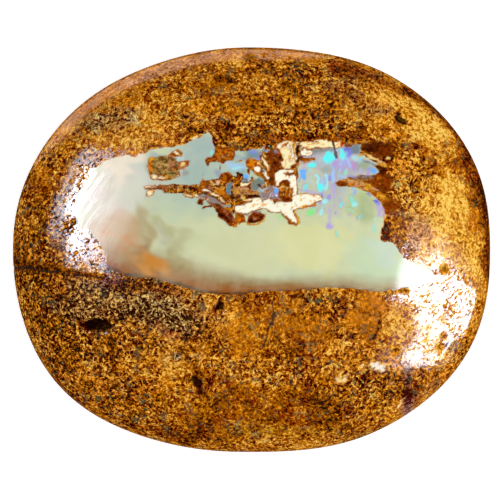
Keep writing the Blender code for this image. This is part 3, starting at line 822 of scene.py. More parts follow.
# %% The tongue at the right
TONGUE_DABS = [
    ("mauve", patch([(5.6, 4.12), (6.7, 4.16), (6.75, 3.95), (6.2, 3.86), (5.6, 3.95)]), 0.06, 0.9),
    ("violet", oval((5.5, 4.08), 0.16, 0.06), 0.04, 0.8),
    ("rust", oval((4.95, 3.68), 0.28, 0.13), 0.05, 1.0),
    ("tan", patch([(5.2, 3.72), (5.4, 3.9), (5.7, 3.88), (6.2, 3.78), (6.5, 3.4), (6.1, 3.35),
                   (5.6, 3.52)]), 0.06, 0.9),
    ("orange", line([(5.3, 3.68), (5.7, 3.56), (6.0, 3.5)], 0.08), 0.05, 0.7),
    ("cream", line([(5.35, 3.84), (5.6, 3.82)], 0.05), 0.05, 0.5),
    ("rust", patch([(6.2, 3.8), (6.8, 3.9), (7.0, 4.25), (7.4, 4.3), (7.8, 3.9), (7.7, 3.3),
                    (7.3, 3.2), (6.8, 3.45)]), 0.1, 0.9),
    ("amber", line([(7.0, 4.0), (7.25, 3.85), (7.1, 3.5)], 0.16), 0.08, 0.9),
    ("gold", oval((6.45, 3.52), 0.24, 0.2), 0.06, 1.0),
    ("amber", oval((6.5, 3.52), 0.1, 0.06), 0.04, 0.8),
    ("peach", line([(6.75, 3.42), (7.05, 3.28)], 0.07), 0.04, 0.8),
    ("dark", line([(7.0, 3.45), (7.3, 3.15)], 0.1), 0.05, 0.8),
    ("orange", line([(6.5, 3.28), (6.8, 3.12), (7.1, 2.95)], 0.14), 0.04, 1.0),
    ("gold", line([(7.0, 3.1), (7.3, 2.95), (7.6, 2.75)], 0.16), 0.05, 1.0),
    ("amber", line([(7.1, 2.9), (7.4, 2.4), (7.5, 2.1)], 0.14, 0.1), 0.05, 0.9),
    ("rust", patch([(7.4, 2.9), (7.9, 2.8), (8.2, 2.4), (7.9, 2.0), (7.55, 1.9),
                    (7.5, 2.4)]), 0.08, 0.8),
    ("dark", patch([(6.15, 5.9), (7.0, 6.1), (7.8, 5.9), (7.7, 5.3), (7.2, 5.2), (6.8, 5.35),
                    (6.1, 5.55)]), 0.12, 0.8),
    ("rust", oval((7.4, 5.5), 0.4, 0.25), 0.1, 0.6),
    ("dark", patch([(6.8, 4.62), (7.2, 4.7), (7.6, 4.5), (7.4, 4.2), (7.1, 4.2), (7.1, 4.45)]), 0.06,
     0.9),
    ("gold", line([(6.0, 5.24), (6.3, 5.3), (6.55, 5.22)], 0.12), 0.04, 1.0),
    ("straw", line([(6.5, 5.15), (6.75, 5.1), (6.98, 4.98)], 0.12, 0.07), 0.04, 1.0),
    ("gold", line([(7.0, 4.86), (7.2, 4.76), (7.5, 4.64)], 0.1, 0.14), 0.04, 1.0),
    ("straw", oval((7.6, 5.07), 0.14, 0.08), 0.04, 1.0),
]

# %% [markdown]
# The seam's upper right end is precious opal. Its tiny spheres split the light into patches of cyan,
# blue, violet and green, and each patch has an edge, like a tile in a mosaic. These are dabs too,
# laid on before the splinters.

# %% The play of colour
PLAY_DABS = [
    ("smoke", patch([(3.3, 5.62), (4.4, 5.68), (4.2, 5.4), (3.5, 5.3), (3.0, 5.15)]), 0.1, 0.8),
    ("slate", patch([(5.15, 5.8), (5.9, 5.85), (6.1, 5.7), (5.95, 5.35), (5.5, 5.3)]), 0.1, 0.8),
    ("moss", oval((4.1, 4.42), 0.24, 0.16), 0.1, 0.5),
    ("moss", oval((6.2, 4.72), 0.3, 0.22), 0.12, 0.6),
    ("moss", oval((6.4, 2.3), 0.5, 0.8), 0.3, 0.5),
    ("lilac", oval((5.0, 4.7), 0.5, 0.3), 0.15, 0.6),
    ("sea", oval((4.45, 5.52), 0.16, 0.12), 0.08, 0.7),
    ("cyan", patch([(3.9, 4.95), (4.0, 5.2), (4.2, 5.4), (4.6, 5.35), (4.65, 5.0), (4.5, 4.82),
                    (4.15, 4.8)]), 0.07, 1.0),
    ("cyan", patch([(4.85, 5.64), (5.12, 5.6), (5.22, 5.3), (5.1, 5.0), (4.92, 5.1)]), 0.06, 1.0),
    ("ice", line([(4.9, 5.1), (5.05, 4.98)], 0.14), 0.08, 0.6),
    ("indigo", oval((5.3, 5.58), 0.16, 0.12), 0.06, 0.9),
    ("violet", oval((5.42, 5.34), 0.16, 0.22), 0.08, 0.9),
    ("sky", line([(5.24, 5.1), (5.36, 4.88), (5.48, 4.66)], 0.13), 0.05, 0.9),
    ("ice", oval((5.78, 5.08), 0.22, 0.12), 0.08, 0.6),
    ("pink", oval((5.68, 4.72), 0.2, 0.2), 0.1, 0.7),
    ("pink", oval((4.62, 4.8), 0.16, 0.2), 0.08, 0.6),
    ("cyan", oval((3.36, 4.67), 0.25, 0.15), 0.05, 1.0),
    ("azure", patch([(2.72, 3.95), (2.68, 4.3), (2.85, 4.5), (3.05, 4.42), (3.05, 4.05),
                     (2.95, 3.85)]), 0.07, 1.0),
    ("violet", line([(2.66, 4.0), (2.64, 3.8)], 0.08), 0.05, 0.6),
    ("ice", line([(3.56, 4.14), (3.7, 3.95), (3.64, 3.68)], 0.2, 0.12), 0.06, 1.0),
    ("ice", line([(4.14, 4.1), (4.18, 3.7), (4.1, 3.35)], 0.18), 0.07, 0.9),
    ("cyan", oval((3.82, 3.45), 0.17, 0.24), 0.06, 1.0),
    ("sky", line([(3.9, 3.95), (3.92, 3.7)], 0.12), 0.06, 0.8),
    ("aqua", oval((2.99, 3.54), 0.14, 0.11), 0.05, 0.9),
    ("lilac", line([(3.0, 3.3), (3.3, 3.2), (3.5, 3.12)], 0.14), 0.06, 0.8),
    ("sky", oval((3.25, 3.78), 0.1, 0.08), 0.05, 0.6),
    ("sky", line([(4.52, 4.4), (4.5, 4.1), (4.55, 3.8)], 0.16), 0.08, 0.9),
    ("sky", line([(4.85, 4.1), (5.15, 4.05)], 0.12), 0.08, 0.7),
    ("lilac", line([(4.55, 3.6), (4.56, 3.2), (4.58, 2.9)], 0.16), 0.08, 0.8),
    ("lilac", oval((3.8, 3.12), 0.1, 0.07), 0.05, 0.6),
    ("ice", oval((4.04, 2.7), 0.17, 0.14), 0.06, 1.0),
    ("lilac", oval((4.9, 2.77), 0.08, 0.07), 0.04, 0.6),
    ("aqua", line([(5.5, 2.9), (5.6, 2.7), (5.7, 2.5)], 0.18, 0.24), 0.06, 0.9),
    ("ice", oval((5.72, 2.5), 0.14, 0.12), 0.05, 0.9),
    ("aqua", line([(5.4, 2.3), (5.6, 2.1)], 0.12), 0.07, 0.6),
    ("sky", oval((5.18, 2.44), 0.08, 0.07), 0.05, 0.6),
    ("indigo", oval((6.5, 3.04), 0.14, 0.07, -30), 0.05, 0.8),
    ("indigo", patch([(6.72, 2.8), (6.95, 2.86), (7.15, 2.55), (7.05, 2.42), (6.85, 2.58)]), 0.05,
     1.0),
    ("lilac", line([(7.0, 2.5), (7.12, 2.2), (7.1, 1.9)], 0.2), 0.07, 0.8),
    ("pink", line([(7.22, 2.4), (7.35, 2.15), (7.36, 1.85)], 0.12), 0.05, 0.9),
    ("azure", oval((6.8, 4.36), 0.18, 0.13, -30), 0.05, 1.0),
    ("blue", oval((6.55, 4.5), 0.14, 0.12), 0.06, 0.5),
    ("sea", oval((6.75, 4.72), 0.14, 0.08), 0.05, 0.9),
    ("slate", oval((6.46, 4.88), 0.24, 0.1, -20), 0.07, 0.8),
    ("green", oval((3.32, 2.08), 0.22, 0.15, 35), 0.06, 1.0),
    ("ice", line([(3.9, 2.25), (3.82, 2.0)], 0.2), 0.06, 0.9),
    ("lilac", line([(4.3, 2.2), (4.32, 1.8), (4.34, 1.5)], 0.14), 0.08, 0.7),
    ("lilac", oval((4.32, 1.3), 0.18, 0.14), 0.06, 1.0),
    ("aqua", line([(4.66, 0.98), (4.8, 0.74)], 0.14), 0.05, 0.9),
    ("green", oval((1.6, 1.8), 0.2, 0.14, 20), 0.08, 0.4),
    ("aqua", oval((6.8, 1.2), 0.14, 0.28), 0.08, 0.7),
    ("ice", oval((6.85, 1.7), 0.1, 0.12), 0.06, 0.5),
    ("aqua", oval((-2.18, 5.4), 0.12, 0.16), 0.06, 0.9),
    ("sky", patch([(-1.4, 4.85), (-0.9, 4.75), (-0.4, 4.75), (-0.35, 4.45), (-0.9, 4.42),
                   (-1.3, 4.6)]), 0.12, 0.7),
    ("ice", line([(-1.04, 4.5), (-0.6, 4.52)], 0.09), 0.05, 0.8),
    ("sea", oval((-0.5, 4.35), 0.2, 0.12), 0.1, 0.4),
]
ALL_DABS = [*PLAY_DABS, *RUST_DABS, *EYE_DABS, *SPEAR_DABS, *LEFT_MASS_DABS, *MIDDLE_DABS,
            *LOBE_DABS, *TOWER_DABS, *BAR_DABS, *TONGUE_DABS]
print(len(ALL_DABS), "dabs")

# %% [markdown]
# ## The ironstone's zones
# The ironstone is far from even: bands of ochre, rust, black oxide and grey silt were laid down with
# it. All of them are the same iron minerals, so one row of tones from near black through rust and
# ochre to cream serves for all. A zone is a place on that row, how far its grains stray from it, and
# a tint with its share for the zones that lean to grey, red or green. Soft patches are blended over
# one another like thin washes, and the grain itself is left to the material.

# %% The kinds of ironstone: tone, grit, tint, share of the tint
KINDS = {
    "golden": (0.60, 0.36, "#B06C14", 0.0),
    "deep golden": (0.52, 0.50, "#B06C14", 0.0),
    "granular": (0.46, 0.46, "#B06C14", 0.0),
    "dark granular": (0.35, 0.54, "#B06C14", 0.0),
    "bright ochre": (0.84, 0.28, "#D08C28", 0.0),
    "orange": (0.62, 0.20, "#E88400", 0.85),
    "gold worms": (0.62, 0.54, "#D08C28", 0.0),
    "pepper": (0.27, 0.50, "#8C7E4E", 0.8),
    "dark": (0.14, 0.25, "#4A1E08", 0.3),
    "rust": (0.30, 0.26, "#8A2A06", 0.7),
    "brown": (0.42, 0.26, "#B06C14", 0.0),
    "teal": (0.44, 0.36, "#748A66", 0.75),
    "olive": (0.44, 0.30, "#8A7A20", 0.5),
    # Lilac paints the grey-lilac veils beside the highlights and along the upper rim: painted reflection.
    "lilac": (0.62, 0.30, "#B89A8C", 0.6),
    # A painted reflection: the smooth, pale band that the steep upper-left rim mirrors.
    "painted rim reflection": (0.62, 0.12, "#B47230", 0.6),
    # Two of the steel marks paint the grey veils beside the right highlight: painted reflection.
    "steel": (0.26, 0.20, "#5A5260", 0.8),
    "black": (0.00, 0.10, "#2A1A10", 0.3),
    "quartz": (1.00, 0.15, "#EDE6DA", 0.9),
    "cream": (1.00, 0.18, "#F8E4A8", 0.7),
    "splintered": (0.34, 0.50, "#C8700C", 0.4),
}

# %% The patches: kind, middle, half length, half width, turn in degrees, strength
PATCHES = [
    ("granular", (-0.5, -7.6), 10.0, 4.2, 0, 0.75),
    ("golden", (-6.0, 7.2), 5.0, 2.0, 14, 0.9),
    ("bright ochre", (-5.5, 6.4), 2.2, 0.7, 4, 0.5),
    ("granular", (1.2, 8.3), 4.6, 2.1, -3, 1.0),
    ("dark granular", (0.2, 6.9), 3.4, 0.7, -2, 0.8),
    ("golden", (-1.2, 8.7), 2.2, 0.8, 0, 0.6),
    ("dark granular", (3.4, 7.2), 2.2, 0.9, -2, 0.8),
    ("olive", (5.6, 8.3), 1.8, 1.1, -20, 0.9),
    ("teal", (5.6, 8.6), 0.9, 0.3, -30, 0.5),
    ("teal", (7.0, 7.7), 0.9, 0.35, -10, 0.5),
    ("bright ochre", (8.8, 7.6), 2.6, 1.4, -34, 0.95),
    ("bright ochre", (11.2, 4.4), 1.8, 3.4, 24, 0.9),
    ("bright ochre", (11.3, 0.4), 1.9, 4.2, 0, 1.0),
    ("bright ochre", (10.3, -4.0), 2.0, 2.6, -10, 0.9),
    ("gold worms", (8.6, 4.0), 1.6, 2.1, 0, 0.95),
    # The two lilac patches beside the right highlight are painted reflection.
    ("lilac", (9.0, 0.9), 1.1, 1.5, 0, 0.6),
    ("lilac", (8.9, -0.3), 0.7, 0.6, 0, 0.5),
    ("brown", (12.6, 1.6), 0.5, 1.1, 0, 0.7),
    ("teal", (-8.4, 7.2), 1.7, 0.6, 14, 0.75),
    ("teal", (-9.8, 6.6), 0.9, 0.6, 40, 0.6),
    ("brown", (-12.2, 3.2), 1.2, 2.6, -12, 0.9),
    ("golden", (-10.4, 4.9), 1.6, 0.8, 26, 0.7),
    ("orange", (-12.6, 0.7), 0.8, 0.8, 0, 0.5),
    ("granular", (-10.8, 1.8), 0.9, 2.2, 0, 0.8),
    ("rust", (-12.4, -1.0), 1.2, 0.6, 0, 0.95),
    ("brown", (-10.8, -5.4), 3.0, 3.4, -30, 0.8),
    ("pepper", (-9.4, -2.8), 2.3, 1.1, 0, 0.85),
    ("pepper", (-6.0, -3.1), 3.6, 1.4, -6, 0.95),
    ("pepper", (-7.6, -0.9), 1.6, 0.6, -20, 0.8),
    ("teal", (-12.3, -2.7), 0.8, 0.7, 0, 0.4),
    ("pepper", (-3.6, -4.0), 2.0, 1.2, -10, 0.6),
    ("dark granular", (-8.0, -5.6), 1.5, 1.1, 0, 0.7),
    ("golden", (-9.2, -6.6), 0.9, 0.7, 0, 0.6),
    ("golden", (-5.2, -6.4), 2.4, 1.0, -6, 1.0),
    ("orange", (-4.9, -6.7), 1.0, 0.5, 0, 0.4),
    ("golden", (-6.8, -8.2), 2.0, 1.0, -12, 0.95),
    ("golden", (-3.2, -8.0), 2.2, 0.9, 0, 0.7),
    ("teal", (-4.1, -5.8), 0.35, 0.25, -40, 0.7),
    ("teal", (-3.0, -6.0), 0.4, 0.25, 0, 0.6),
    ("teal", (-3.2, -4.2), 0.3, 0.25, 0, 0.6),
    ("teal", (-5.6, -4.4), 0.6, 0.2, -10, 0.5),
    ("rust", (-3.9, -4.95), 1.3, 0.16, 0, 0.7),
    ("orange", (-0.6, -4.9), 1.3, 0.8, 0, 0.8),
    ("orange", (2.0, -4.0), 0.7, 1.2, 10, 0.7),
    ("brown", (2.9, -5.4), 1.6, 1.0, 0, 0.6),
    ("dark granular", (4.1, -3.3), 1.7, 0.9, 0, 0.8),
    ("bright ochre", (7.8, -4.6), 0.9, 1.5, -12, 0.6),
    ("orange", (6.4, -3.9), 0.8, 1.5, -14, 1.0),
    ("dark granular", (3.0, -7.4), 1.7, 0.8, -12, 0.8),
    ("dark granular", (4.2, -8.5), 1.9, 0.8, -8, 0.95),
    ("dark granular", (6.6, -8.0), 1.8, 1.0, 0, 0.8),
    ("orange", (3.6, -7.3), 0.5, 0.4, 0, 0.8),
    ("orange", (4.6, -7.5), 0.6, 0.35, 0, 0.7),
    ("brown", (0.6, -9.3), 5.4, 1.5, 2, 0.85),
    ("olive", (-0.2, -9.9), 2.6, 0.8, 2, 0.7),
    ("olive", (3.6, -10.0), 2.4, 0.6, 8, 0.7),
    ("teal", (-1.0, -9.2), 0.6, 0.4, 0, 0.4),
    ("dark", (-7.4, -9.3), 2.6, 0.3, -28, 0.6),
    ("dark", (-4.2, -10.6), 2.4, 0.3, -8, 0.5),
    # This lilac patch below the right highlight is painted reflection.
    ("lilac", (9.6, -8.3), 1.8, 0.4, 42, 0.5),
    ("deep golden", (-7.6, -7.6), 2.6, 1.5, -30, 0.8),
    ("dark granular", (-12.6, -0.5), 1.2, 4.2, 0, 0.75),
    ("dark granular", (-9.4, -4.8), 3.0, 1.9, -20, 0.6),
    ("dark granular", (-7.2, -5.6), 2.2, 1.1, -25, 0.7),
    ("dark granular", (-10.6, 1.6), 1.3, 2.4, 0, 0.55),
    ("dark granular", (0.5, 6.7), 6.5, 0.75, 0, 0.6),
    ("bright ochre", (-4.4, 8.5), 2.0, 0.9, 18, 0.9),
    ("golden", (-7.6, 6.6), 2.4, 0.8, 20, 0.5),
    ("golden", (5.2, 8.5), 1.0, 0.8, 0, 0.5),
    ("brown", (12.3, 4.0), 0.7, 2.6, 12, 0.7),
    ("brown", (0.6, -3.9), 2.2, 1.2, 0, 0.6),
    ("brown", (0.8, -8.6), 2.6, 1.2, 0, 0.5),
    ("dark granular", (-9.0, -5.6), 3.6, 2.2, -35, 0.6),
    ("dark granular", (-12.0, -3.0), 1.6, 2.6, 0, 0.6),
    ("pepper", (-7.8, -3.4), 3.2, 1.3, -15, 0.6),
    ("brown", (-6.0, -9.0), 1.6, 0.8, -25, 0.4),
    ("bright ochre", (-6.6, 6.5), 2.0, 0.9, 25, 0.7),
    ("bright ochre", (5.8, 8.4), 1.0, 0.7, -20, 0.4),
    ("dark granular", (-1.3, 6.8), 2.6, 0.7, 3, 0.6),
    ("dark granular", (3.6, 10.2), 1.6, 0.7, -10, 0.6),
    ("dark granular", (11.6, -5.4), 1.0, 1.2, 0, 0.6),
    ("dark", (13.3, 1.0), 0.5, 5.5, 3, 0.7),
    ("dark granular", (-9.5, -4.6), 4.8, 2.8, -30, 0.55),
    ("orange", (1.5, -4.0), 3.6, 1.2, 0, 0.45),
    ("dark granular", (-12.6, -2.6), 1.2, 2.4, 0, 0.7),
    ("dark granular", (-7.0, -8.2), 1.6, 0.8, -30, 0.5),
    ("deep golden", (-2.4, 9.7), 4.6, 1.1, 6, 0.6),
    ("golden", (-3.0, 9.0), 3.6, 1.3, 12, 1.0),
    ("golden", (1.0, 8.8), 3.6, 1.2, -4, 0.5),
    ("orange", (6.3, -3.7), 1.5, 0.7, 58, 0.9),
    ("orange", (3.0, -4.2), 1.6, 0.9, 0, 0.5),
    ("dark granular", (-8.6, -5.2), 2.6, 1.6, -20, 0.5),
    ("dark granular", (-7.6, -9.0), 1.6, 0.9, -40, 0.6),
    ("dark granular", (-12.4, -1.8), 1.4, 2.2, 0, 0.5),
    ("dark granular", (-9.4, 5.0), 1.2, 0.9, 0, 0.5),
    ("dark granular", (-11.6, -3.6), 2.4, 2.6, 0, 0.5),
    ("dark granular", (-6.2, -8.6), 1.8, 1.0, -30, 0.5),
    ("deep golden", (-3.2, 7.4), 1.2, 0.8, 0, 0.5),
    ("golden", (6.0, 8.8), 1.4, 0.9, -15, 0.5),
    ("golden", (-5.0, -8.0), 1.8, 0.7, -25, 0.5),
    ("rust", (-4.6, -4.5), 1.0, 0.3, -8, 0.6),
    ("pepper", (-9.4, -3.2), 2.2, 1.2, -20, 0.7),
    ("pepper", (-5.2, -3.4), 1.8, 0.8, -10, 0.5),
    ("teal", (-6.4, 7.4), 0.9, 0.5, 10, 0.7),
    ("teal", (5.4, 8.7), 1.2, 0.7, -15, 0.6),
    ("teal", (6.8, 8.0), 0.9, 0.5, -25, 0.6),
    ("olive", (7.2, -6.2), 1.2, 0.6, 30, 0.5),
    ("teal", (-4.6, -6.0), 0.9, 0.5, 0, 0.5),
    ("deep golden", (-12.0, 5.2), 1.2, 2.0, -30, 0.5),
    ("orange", (6.3, -3.3), 1.1, 1.4, -30, 0.8),
    ("golden", (-6.0, -6.6), 1.6, 1.0, 0, 0.5),
    ("golden", (5.6, 8.2), 1.8, 0.9, -15, 0.5),
    ("brown", (-0.5, 8.2), 3.0, 1.2, 0, 0.35),
    ("splintered", (0.2, 3.6), 4.6, 2.6, 0, 1.0),
]

# %% The marks laid over the patches: kind, shape as a distance, softness of the edge, strength
MARKS = [
    # Painted reflection: the smooth pale band that the steep upper-left rim mirrors.
    ("painted rim reflection", line([(-10.8, 6.5), (-9.1, 8.15), (-6.2, 9.75), (-3.4, 10.7), (0.0, 11.1), (3.2, 10.9)],
                        0.9, 0.6), 0.45, 0.85),
    # Painted reflection: the lilac veil along the upper rim.
    ("lilac", line([(-6.8, 9.3), (-4.9, 10.0), (-3.1, 10.5)], 0.3, 0.2), 0.25, 0.6),
    ("dark", line([(-8.0, -1.75), (-7.0, -1.95), (-6.0, -2.0), (-5.0, -2.2), (-4.0, -2.5)], 0.6, 0.35),
     0.3, 0.8),
    ("rust", line([(-13.4, -0.5), (-12.4, -0.8)], 0.6, 0.4), 0.3, 0.7),
    ("rust", line([(4.6, 10.35), (6.5, 9.9), (8.6, 8.9)], 0.8, 0.3), 0.3, 0.85),
    ("dark", line([(8.6, 9.1), (10.2, 8.0), (11.4, 6.8), (12.4, 5.2), (12.9, 3.6)], 0.4, 0.5), 0.25, 0.8),
    ("dark", line([(12.9, 3.6), (13.3, 1.5), (13.4, -1.5)], 0.35, 0.2), 0.2, 0.8),
    ("dark", line([(12.0, 5.3), (12.1, 4.7), (12.4, 3.9), (12.5, 3.5)], 0.35, 0.2), 0.12, 0.8),
    ("rust", line([(12.3, 5.0), (12.6, 4.2)], 0.25, 0.15), 0.12, 0.7),
    ("dark", line([(10.0, 4.2), (10.35, 4.4), (10.75, 4.15)], 0.3, 0.2), 0.12, 0.85),
    ("dark", line([(11.4, 4.8), (12.0, 4.7)], 0.3, 0.2), 0.2, 0.7),
    ("dark", line([(9.5, 5.7), (10.4, 5.3), (11.0, 6.0)], 0.3, 0.2), 0.25, 0.6),
    ("rust", line([(8.2, 6.2), (9.6, 5.6), (10.3, 4.6), (11.2, 4.9), (12.0, 5.3)], 0.3, 0.25), 0.3, 0.75),
    ("rust", line([(10.6, 6.0), (11.0, 5.2)], 0.2, 0.2), 0.2, 0.7),
    ("dark", line([(8.1, 7.22), (8.4, 7.15), (8.9, 7.0)], 0.14, 0.16), 0.06, 0.9),
    ("dark", line([(8.1, 7.6), (8.25, 7.58)], 0.14), 0.05, 0.85),
    ("dark", line([(5.2, 9.9), (5.6, 9.65)], 0.3, 0.2), 0.12, 0.85),
    ("dark", line([(-1.8, 9.5), (-1.0, 9.4)], 0.5, 0.3), 0.15, 0.9),
    ("dark", line([(-0.6, 10.0), (0.2, 10.0)], 0.25), 0.2, 0.6),
    ("rust", line([(-1.5, 6.35), (1.0, 6.2), (3.0, 6.2), (6.5, 6.3)], 0.25, 0.35), 0.15, 0.75),
    ("dark", line([(-4.6, 6.2), (-3.4, 6.5), (-2.2, 6.85), (-0.8, 6.7)], 0.35, 0.45), 0.25, 0.6),
    ("dark", line([(-5.9, 5.65), (-5.1, 5.78), (-4.6, 5.85)], 0.12, 0.06), 0.06, 0.8),
    ("rust", patch([(6.1, 5.95), (7.4, 6.1), (8.2, 5.9), (8.0, 5.4), (7.6, 4.6), (7.9, 3.9),
                      (7.4, 3.3), (6.8, 3.55), (7.0, 4.3), (6.9, 4.6), (6.2, 5.1)]), 0.15, 0.85),
    ("dark", line([(6.4, 5.6), (7.6, 5.6), (9.2, 5.75)], 0.35, 0.3), 0.2, 0.6),
    ("rust", line([(7.4, 2.9), (7.6, 2.4), (8.2, 2.5)], 0.5, 0.25), 0.15, 0.85),
    ("rust", line([(7.5, 1.45), (7.45, 0.65)], 0.42, 0.5), 0.05, 1.0),
    ("cream", line([(7.32, 1.6), (7.2, 1.1), (7.12, 0.6)], 0.05, 0.05), 0.04, 0.9),
    # Painted reflection: a grey veil above the right highlight.
    ("steel", line([(7.7, 1.9), (8.3, 2.05)], 0.3, 0.16), 0.15, 0.7),
    ("cream", line([(7.85, 0.75), (8.05, 0.15)], 0.08, 0.04), 0.05, 0.8),
    ("orange", line([(4.95, 3.72), (6.0, 3.62), (6.8, 3.3), (7.5, 2.9)], 0.3, 0.2), 0.1, 0.85),
    ("dark", line([(5.0, 3.6), (5.4, 3.7)], 0.14, 0.1), 0.08, 0.7),
    ("cream", line([(6.05, 5.3), (6.7, 5.15), (7.4, 4.75)], 0.1, 0.1), 0.06, 0.85),
    ("cream", line([(-3.3, 6.12), (-2.7, 6.4), (-2.45, 6.58)], 0.12, 0.06), 0.05, 0.85),
    ("cream", oval((-3.75, 5.82), 0.16, 0.1, 20), 0.06, 0.9),
    ("orange", line([(-6.6, 5.35), (-6.0, 5.45)], 0.2, 0.16), 0.1, 0.8),
    ("steel", line([(-8.3, 5.15), (-7.7, 5.25), (-7.1, 5.45)], 0.16, 0.2), 0.15, 0.5),
    ("dark", line([(-13.2, -0.9), (-12.2, -1.0), (-11.3, -1.0), (-9.6, -1.35), (-8.6, -1.5)], 0.5,
                    0.3), 0.2, 0.75),
    ("orange", line([(-12.2, -0.55), (-11.2, -1.05), (-9.2, -1.05)], 0.1, 0.08), 0.08, 0.8),
    ("rust", oval((-7.9, -1.66), 0.75, 0.12, 6), 0.08, 0.8),
    # The next two black marks lie over the open pit at (-8.55, -4.2): painted shade in the pit.
    ("black", line([(-9.5, -4.15), (-9.0, -4.3), (-8.2, -3.95)], 0.3, 0.16), 0.14, 1.0),
    ("black", line([(-9.0, -4.15), (-8.85, -4.5)], 0.5, 0.2), 0.12, 1.0),
    ("black", line([(-7.35, -1.8), (-7.2, -2.0)], 0.16), 0.1, 0.8),
    ("black", line([(-5.2, -2.6), (-5.1, -2.75)], 0.2), 0.12, 0.7),
    ("dark", line([(-7.75, -4.9), (-7.7, -6.0), (-7.8, -6.9)], 0.35, 0.3), 0.25, 0.6),
    ("dark", line([(-1.72, -2.75), (-1.95, -3.15), (-2.1, -3.5)], 0.3, 0.3), 0.12, 0.9),
    ("rust", line([(-3.1, -7.1), (-2.75, -7.9)], 0.35, 0.45), 0.1, 0.95),
    ("dark", line([(-2.9, -7.9), (-2.5, -8.1)], 0.3, 0.2), 0.12, 0.9),
    ("rust", line([(-2.4, -7.1), (-2.25, -7.6)], 0.3, 0.2), 0.12, 0.8),
    ("rust", line([(-1.7, -7.2), (-1.1, -7.7)], 0.35, 0.2), 0.15, 0.7),
    ("quartz", oval((7.05, -6.5), 0.5, 0.2, -14), 0.05, 1.0),
    ("cream", oval((6.2, -6.45), 0.22, 0.09), 0.05, 0.8),
    ("cream", oval((5.1, -7.2), 0.36, 0.18, 20), 0.08, 0.9),
    ("cream", oval((7.8, -7.4), 0.16, 0.1, -30), 0.05, 0.8),
    ("dark", line([(7.15, -3.6), (7.1, -4.3), (6.7, -5.1)], 0.16, 0.2), 0.1, 0.85),
    ("dark", line([(5.1, -3.1), (5.2, -3.6)], 0.4, 0.3), 0.2, 0.6),
    # Painted reflection: the grey veil down the left side of the right highlight's foot.
    ("steel", line([(8.7, -6.3), (8.75, -7.6), (8.8, -9.1)], 0.4, 0.6), 0.25, 0.9),
    ("black", line([(8.75, -7.9), (8.75, -8.3)], 0.5, 0.4), 0.25, 0.7),
    ("cream", line([(8.45, -8.4), (8.15, -9.2)], 0.08, 0.05), 0.05, 0.8),
    ("dark", line([(3.0, -8.2), (3.9, -8.6), (5.6, -9.0)], 0.5, 0.4), 0.3, 0.6),
    ("dark", line([(2.1, -2.6), (2.8, -2.6)], 0.2, 0.1), 0.1, 0.8),
    ("dark", line([(-1.9, -2.65), (-1.0, -2.6), (0.6, -2.55)], 0.14, 0.1), 0.1, 0.7),
]
CRACKS = (
    line([(1.15, -2.95), (1.25, -3.6), (1.12, -4.05), (0.88, -4.55), (0.75, -5.1), (0.6, -5.5)],
           0.09, 0.04),
    line([(0.1, -6.35), (0.55, -6.85), (0.95, -7.3)], 0.05, 0.03),
    line([(4.52, 6.0), (4.64, 5.6), (4.7, 5.1)], 0.07, 0.03),
    line([(4.9, -7.9), (5.4, -8.3), (6.0, -8.4)], 0.05, 0.03),
    line([(-13.6, -1.05), (-12.4, -1.0), (-11.4, -1.25), (-10.4, -1.2), (-9.4, -1.5), (-8.2, -1.55)],
           0.1, 0.05),
    line([(7.0, -2.42), (8.0, -2.33), (8.7, -2.28)], 0.05, 0.02),
)

# %% [markdown]
# ## The opal's colours
# Most of the seam is milky potch, which runs from teal through pale green to cream, with rust bled
# in along its lower wall. Unlike the play of colour it has no edges, and only drifts, so it is
# laid on as washes.

